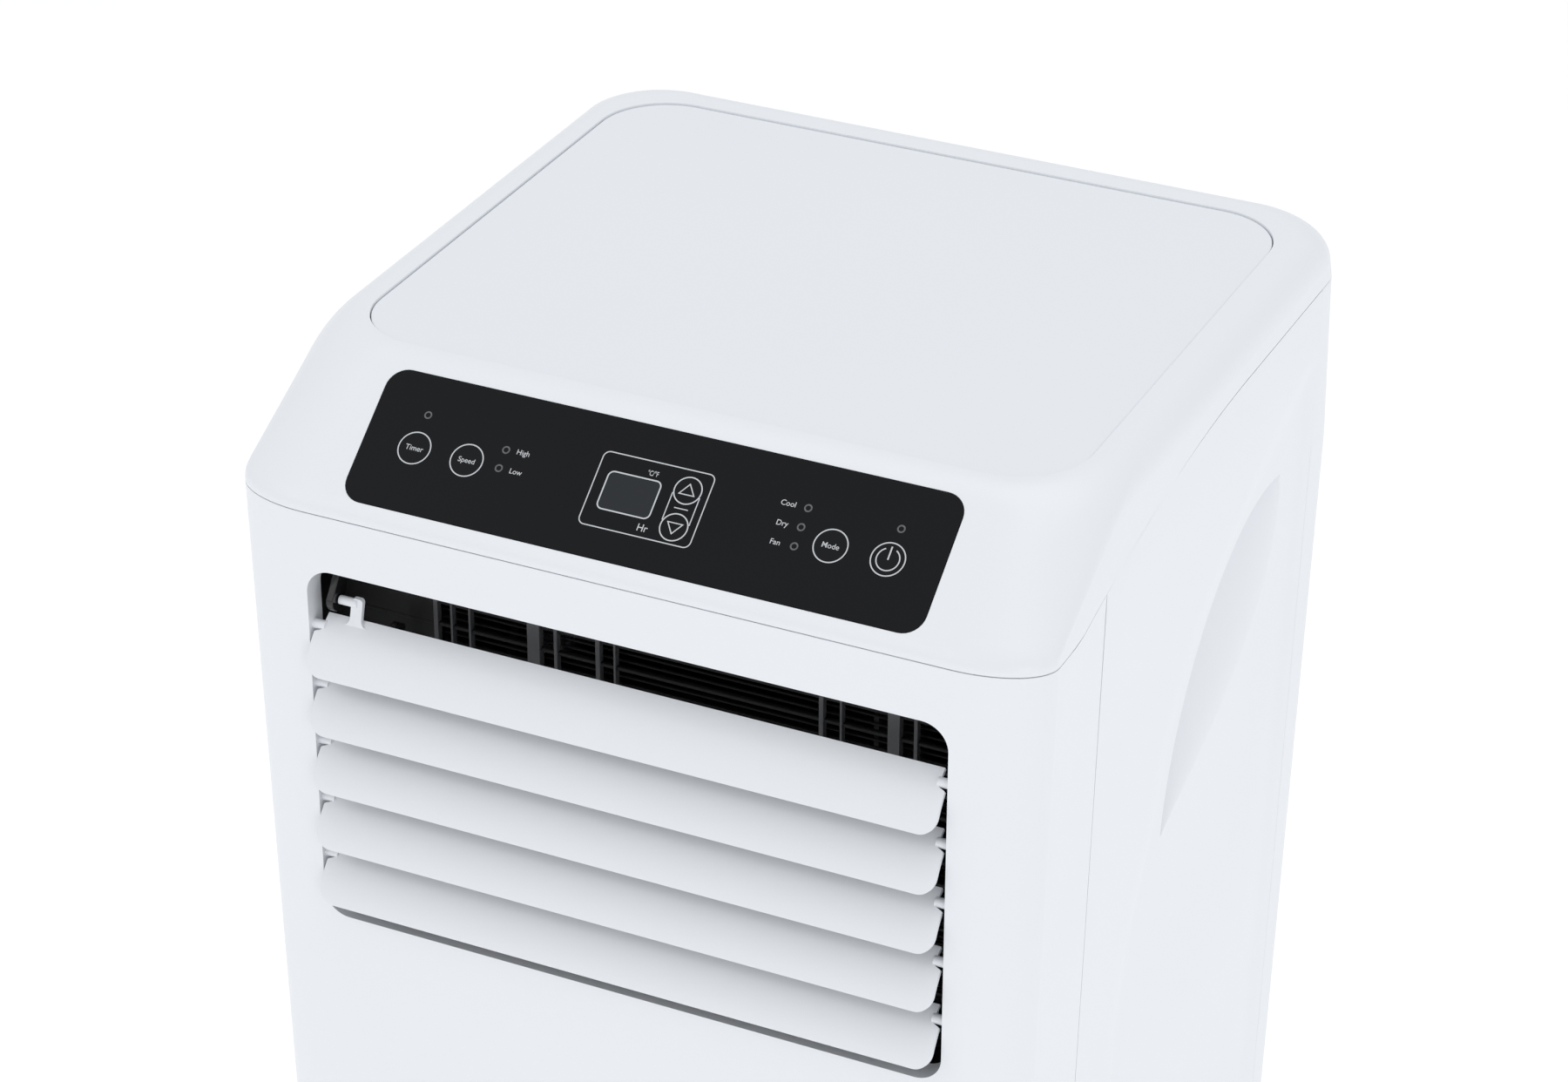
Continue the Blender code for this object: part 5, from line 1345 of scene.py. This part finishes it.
# %% Intake grilles
def intake(node, name, body, bars):
    """A frame with sloping bars across it and three posts behind them."""
    low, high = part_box(node)
    rim = 7 * MM
    edge = through(inset_box(low, high, 0, 7.5 * MM), low.y, high.y)
    cut(edge, through(inset_box(low, high, rim, 4 * MM), low.y - MM, high.y + MM))
    soften(edge, 0.8 * MM, 3, 50)
    step = (high.z - low.z - 2 * rim) / (bars + 1)
    drop = min(step * 0.7, 9 * MM)
    first = low.z + rim + step
    bar = block(
        (low.x + 6 * MM, low.y + 0.3 * MM, first - 1 * MM),
        (high.x - 6 * MM, high.y - 0.4 * MM, first + 1 * MM),
    )
    middle = (low.y + high.y) / 2
    for vertex in bar.data.vertices:
        vertex.co.z += (drop if vertex.co.y < middle else -drop) / 2
    soften(bar, 0.6 * MM, 2, 40)
    repeat(bar, bars, step)
    posts = []
    for x in (-0.06, 0.0, 0.06):
        post = block(
            (x - 1.5 * MM, low.y + 0.2 * MM, low.z + 6 * MM),
            (x + 1.5 * MM, high.y - 1.0 * MM, high.z - 6 * MM),
        )
        posts.append(soften(post, 0.5 * MM, 2, 50))
    finish_piece(join_all([edge, bar] + posts), name, WHITE, body, [node], 40)


intake("filter_cover", "filter_cover_grille", "filter_cassette", 14)
intake("lower_intake_grille", "lower_grille", "casing", 16)
net_low, net_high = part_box("air_filter")
net_rim = through(inset_box(net_low, net_high, 0, 4 * MM), net_low.y, net_high.y)
net_hole = inset_box(net_low, net_high, 6 * MM, 3 * MM)
cut(net_rim, through(net_hole, net_low.y - MM, net_high.y + MM))
soften(net_rim, 0.5 * MM, 2, 50)
net_middle = (net_low.y + net_high.y) / 2
net_sheet = block(
    (net_low.x + 3 * MM, net_middle - 0.4 * MM, net_low.z + 3 * MM),
    (net_high.x - 3 * MM, net_middle + 0.4 * MM, net_high.z - 3 * MM),
)
soften(net_sheet, 0.2 * MM, 1, 50)
filter_net = join_all([net_rim, net_sheet])
finish_piece(filter_net, "filter_net", MESH, "filter_cassette", ["air_filter"])

# %% [markdown]
# ## The base
# The base pan is a grey ring under the panels with a floor inside. Its lower edge is rounded. The
# pan's ring follows the same outline as the casing, so its taper runs on.

# %% Base pan
def base_rows():
    low, high = BASE_LOW, BASE_TOP - GAP / 2
    turn = 4 * MM
    start = low + turn
    levels = [(inset, height) for inset, height in arc((turn, start), (turn, turn), -90, -180, 6)]
    levels += [(0.0, start + (high - start) * i / 4) for i in range(1, 5)]
    return [
        [world(x, depth, height) for x, depth in outline(height, inset)] for inset, height in levels
    ]


pan = thicken(wrap_grid(base_rows(), closed=True), WALL)
floor_level = [(x, FRONT + depth) for x, depth in outline(BASE_LOW + 15 * MM, 1.5 * MM)[:-1]]
pan_floor = prism(floor_level, SEAM + BASE_LOW + 14 * MM, SEAM + BASE_LOW + 17.5 * MM, FLAT)
combine(pan, pan_floor)
cut(pan, drill("drain_plug", 8.3 * MM, 40 * MM))
tidy_mesh(pan, WELD)
soften(pan, 0.4 * MM, 2, 50)
finish_piece(pan, "base_shell", GREY, "casing", ["base_pan"])


# %% Exhaust collar, drain stoppers and cord gland
def back_turned(profile, node):
    """A profile of (radius, Y) spun round the middle of a round node on the back."""
    low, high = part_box(node)
    at = ((low.x + high.x) / 2, FRONT + DEPTH, (low.z + high.z) / 2)
    return turned([(radius, y - at[1]) for radius, y in profile], at, (0, 1, 0), 72)


inner, outer = collar_low.y, collar_high.y
flange, pipe = (collar_high.x - collar_low.x) / 2, BORE + 3 * MM
profile = [
    (BORE, inner), (pipe, inner), (pipe, outer - 3 * MM), (flange - 0.8 * MM, outer - 3 * MM),
    (flange, outer - 2.2 * MM), (flange, outer - 1.0 * MM), (flange - 1.0 * MM, outer),
    (BORE + 1.5 * MM, outer), (BORE, outer - 1.5 * MM), (BORE, inner),
]
collar = back_turned(profile, "exhaust_collar")
finish_piece(collar, "exhaust_ring", GREY, "casing", ["exhaust_collar"], 40)

for name, finish, body, slot in (
    ("drain_cap", GREY, "drain_cap", "grey_plastic"),
    ("drain_plug", RUBBER, "drain_plug", "rubber"),
    ("cord_gland", RUBBER, "casing", "rubber"),
):
    low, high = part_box(name)
    middle, inner, outer = (low + high) / 2, low.y, high.y
    head, neck = (high.x - low.x) / 2, (7 if name == "cord_gland" else 8) * MM
    lip = outer - 2.6 * MM
    profile = [
        (0, inner), (neck - 0.6 * MM, inner), (neck, inner + 0.6 * MM), (neck, lip),
        (head - 0.3 * MM, lip), (head, lip + 0.4 * MM), (head, outer - 0.9 * MM),
        (head - 0.9 * MM, outer), (head * 0.55, outer), (head * 0.48, outer - 0.8 * MM),
        (0, outer - 0.8 * MM),
    ]
    stopper = back_turned(profile, name)
    if name != "cord_gland":
        grip = block(
            (middle.x - head * 0.42, high.y - 1.6 * MM, middle.z - 0.9 * MM),
            (middle.x + head * 0.42, high.y - 0.05 * MM, middle.z + 0.9 * MM),
        )
        soften(grip, 0.3 * MM, 2, 50)
        combine(stopper, grip)
    finish_piece(stopper, name + "_turned", finish, body, [name], 40)

# %% [markdown]
# ## Casters
# Each caster is a black fork that swivels and a rubber-tyred wheel that rolls. The wheel is one
# profile spun round its axle, with a groove between tyre and hub on both sides. The fork's shape is
# already right, so a copy of it only gets softer edges.

# %% Casters
for end in ("front", "rear"):
    for hand in ("left", "right"):
        stem = f"{end}_{hand}_caster"
        low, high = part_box(stem + "_wheel")
        middle, wide, r = (low + high) / 2, (high.x - low.x) / 2, (high.z - low.z) / 2
        half = [
            (0, wide), (6.5 * MM, wide), (7 * MM, wide - 0.5 * MM), (8 * MM, wide - 1.6 * MM),
            (11.2 * MM, wide - 1.6 * MM), (12 * MM, wide - 0.4 * MM), (r - 3.2 * MM, wide),
            (r - 1.2 * MM, wide - 1.0 * MM), (r - 0.3 * MM, wide - 2.6 * MM), (r, wide * 0.35),
        ]
        profile = half + [(radius, -along) for radius, along in reversed(half)]
        wheel = turned(profile, middle, (1, 0, 0), 48)
        node = stem + "_wheel"
        finish_piece(wheel, stem + "_tyre", RUBBER, node, [node], 40)
        node = stem + "_fork"
        fork = soften(copy_node(node), 0.35 * MM, 2, 50)
        finish_piece(fork, stem + "_bracket", PAINT, node, [node], 40)

# %% [markdown]
# ## The machine inside
# The fans, coils, compressor and pipes keep the frame's own shapes, which are right as they are,
# and get finishes with the detail that each metal or plastic shows.

# %% Finishes on the inner parts
INSIDE = {
    "evaporator_coil": FINS, "condenser_coil": FINS, "evaporator_motor": STEEL,
    "condenser_motor": STEEL, "louvre_motor": STEEL, "compressor": PAINT, "suction_pipe": COPPER,
    "discharge_pipe": COPPER, "evaporator_scroll": INNER, "condenser_scroll": INNER,
    "evaporator_wheel": INNER, "condenser_wheel": INNER, "drip_tray": GREY,
    "electrical_box": GREY, "control_board": BOARD,
}
for name, finish in INSIDE.items():
    for slot in nodes[name].material_slots:
        slot.material = finish
print(len(INSIDE), "inner parts painted")

# %% [markdown]
# ## Lips behind the seams
# A seam between two moulded panels never shows the inside of the machine, because one panel has a
# lip that reaches behind the other. The lip is coloured grey as painted shade, so that the seam
# shows as a thin grey line in the white casing.

# %% Seam lips
LIP_BEHIND = 3.5 * MM


def drawn_in(x, depth, by):
    """A place of the outline, moved towards the casing's middle."""
    return x * (1 - by / HALF), DEPTH / 2 + (depth - DEPTH / 2) * (1 - 2 * by / DEPTH)


def ring_lip():
    """A band inside the seam that runs round under the cover."""
    rows = []
    for up in (-LIP_BEHIND, LIP_BEHIND):
        row = []
        for i, (x, depth) in enumerate(outline(0.0)):
            height = seam_height(depth) + up
            x, depth = outline(height)[i]
            row.append(world(*drawn_in(x, depth, LIP_BEHIND), height))
        rows.append(row)
    return thicken(wrap_grid(rows, closed=True), 1 * MM)


def upright_lip(sign, split):
    """A strip inside an upright seam."""
    low, high = BASE_TOP + 4 * MM, seam_height(split) - 5 * MM
    rows = [
        [
            world(sign * (HALF + height * SIDE_TAPER - LIP_BEHIND), split + reach, height)
            for reach in (-4 * MM, 4 * MM)
        ]
        for height in (low + (min(high, 0.0) - low) * i / 4 for i in range(5))
    ]
    return modify(wrap_grid(rows), "SOLIDIFY", thickness=0.8 * MM, offset=0.0)


lips = [ring_lip()]
for sign in (-1, 1):
    lips += [tidy_mesh(upright_lip(sign, split)) for split in (FRONT_SPLIT, REAR_SPLIT)]
# the lips' grey is painted shade for the seams
finish_piece(join_all(lips), "seam_lips", SEAM_SHADE_LIP, "casing")

# %% [markdown]
# ## The studio
# The machine stands on a bright white floor under broad, soft lights: a large one from above, one
# from the front left, a weak one from the right, and a narrow strip that draws a line of light down
# the front corner. The camera stands high at the front right, with a long lens.

# %% Floor
bpy.ops.mesh.primitive_plane_add(size=60)
floor = bpy.context.object
floor.name = "studio_floor"
floor_finish = finish_of(
    "studio_floor", (0.9, 0.9, 0.9), (0.88, 0.88, 0.88), 0.8,
    **{"Emission Color": (1, 1, 1, 1), "Emission Strength": 0.30},
)
floor.data.materials.append(floor_finish)


# %% Lights
def soft_light(name, place, aim, size, power):
    bpy.ops.object.light_add(type="AREA", location=place)
    light = bpy.context.object
    light.name = name
    light.data.shape = "RECTANGLE"
    light.data.size, light.data.size_y = size
    light.data.energy = power
    light.rotation_euler = (Vector(aim) - Vector(place)).to_track_quat("-Z", "Y").to_euler()


soft_light("key_light", (-1.6, -2.2, 2.6), (0, 0, 0.5), (2.2, 2.2), 9)
soft_light("side_light", (3.0, -0.4, 1.4), (0, 0, 0.5), (1.6, 2.4), 0.8)
soft_light("corner_light", (1.5, -1.7, 0.95), (0.13, -0.12, 0.66), (0.3, 1.2), 3)
soft_light("top_light", (0.2, 0.4, 3.2), (0, 0, 0.6), (2.4, 2.4), 17)

studio = bpy.data.worlds.new("studio")
bpy.context.scene.world = studio
studio.use_nodes = True
sky = studio.node_tree.nodes["Background"]
sky.inputs["Color"].default_value = (0.97, 0.985, 1.0, 1)
sky.inputs["Strength"].default_value = 0.70
bpy.context.scene.view_settings.view_transform = "Standard"
print("four lights and the sky")

# %% Camera
LENS_MM, SENSOR_MM = 100.54, 36
CAMERA_AT = (0.65651, -1.40518, 1.46895)
TILT, PAN = 0.0020, 0.0018  # fine aim, in radians
CAMERA_AXES = (  # right, up and backwards
    (0.90413, 0.42724, 0.00296), (-0.21375, 0.44631, 0.86897), (0.36994, -0.78630, 0.49485),
)
camera_data = bpy.data.cameras.new("camera")
camera_data.lens, camera_data.sensor_width = LENS_MM, SENSOR_MM
camera = bpy.data.objects.new("camera", camera_data)
bpy.context.scene.collection.objects.link(camera)
camera.matrix_world = (
    Matrix.Translation(CAMERA_AT) @ Matrix(CAMERA_AXES).transposed().to_4x4()
    @ Matrix.Rotation(TILT, 4, "X") @ Matrix.Rotation(PAN, 4, "Y")
)
bpy.context.scene.camera = camera
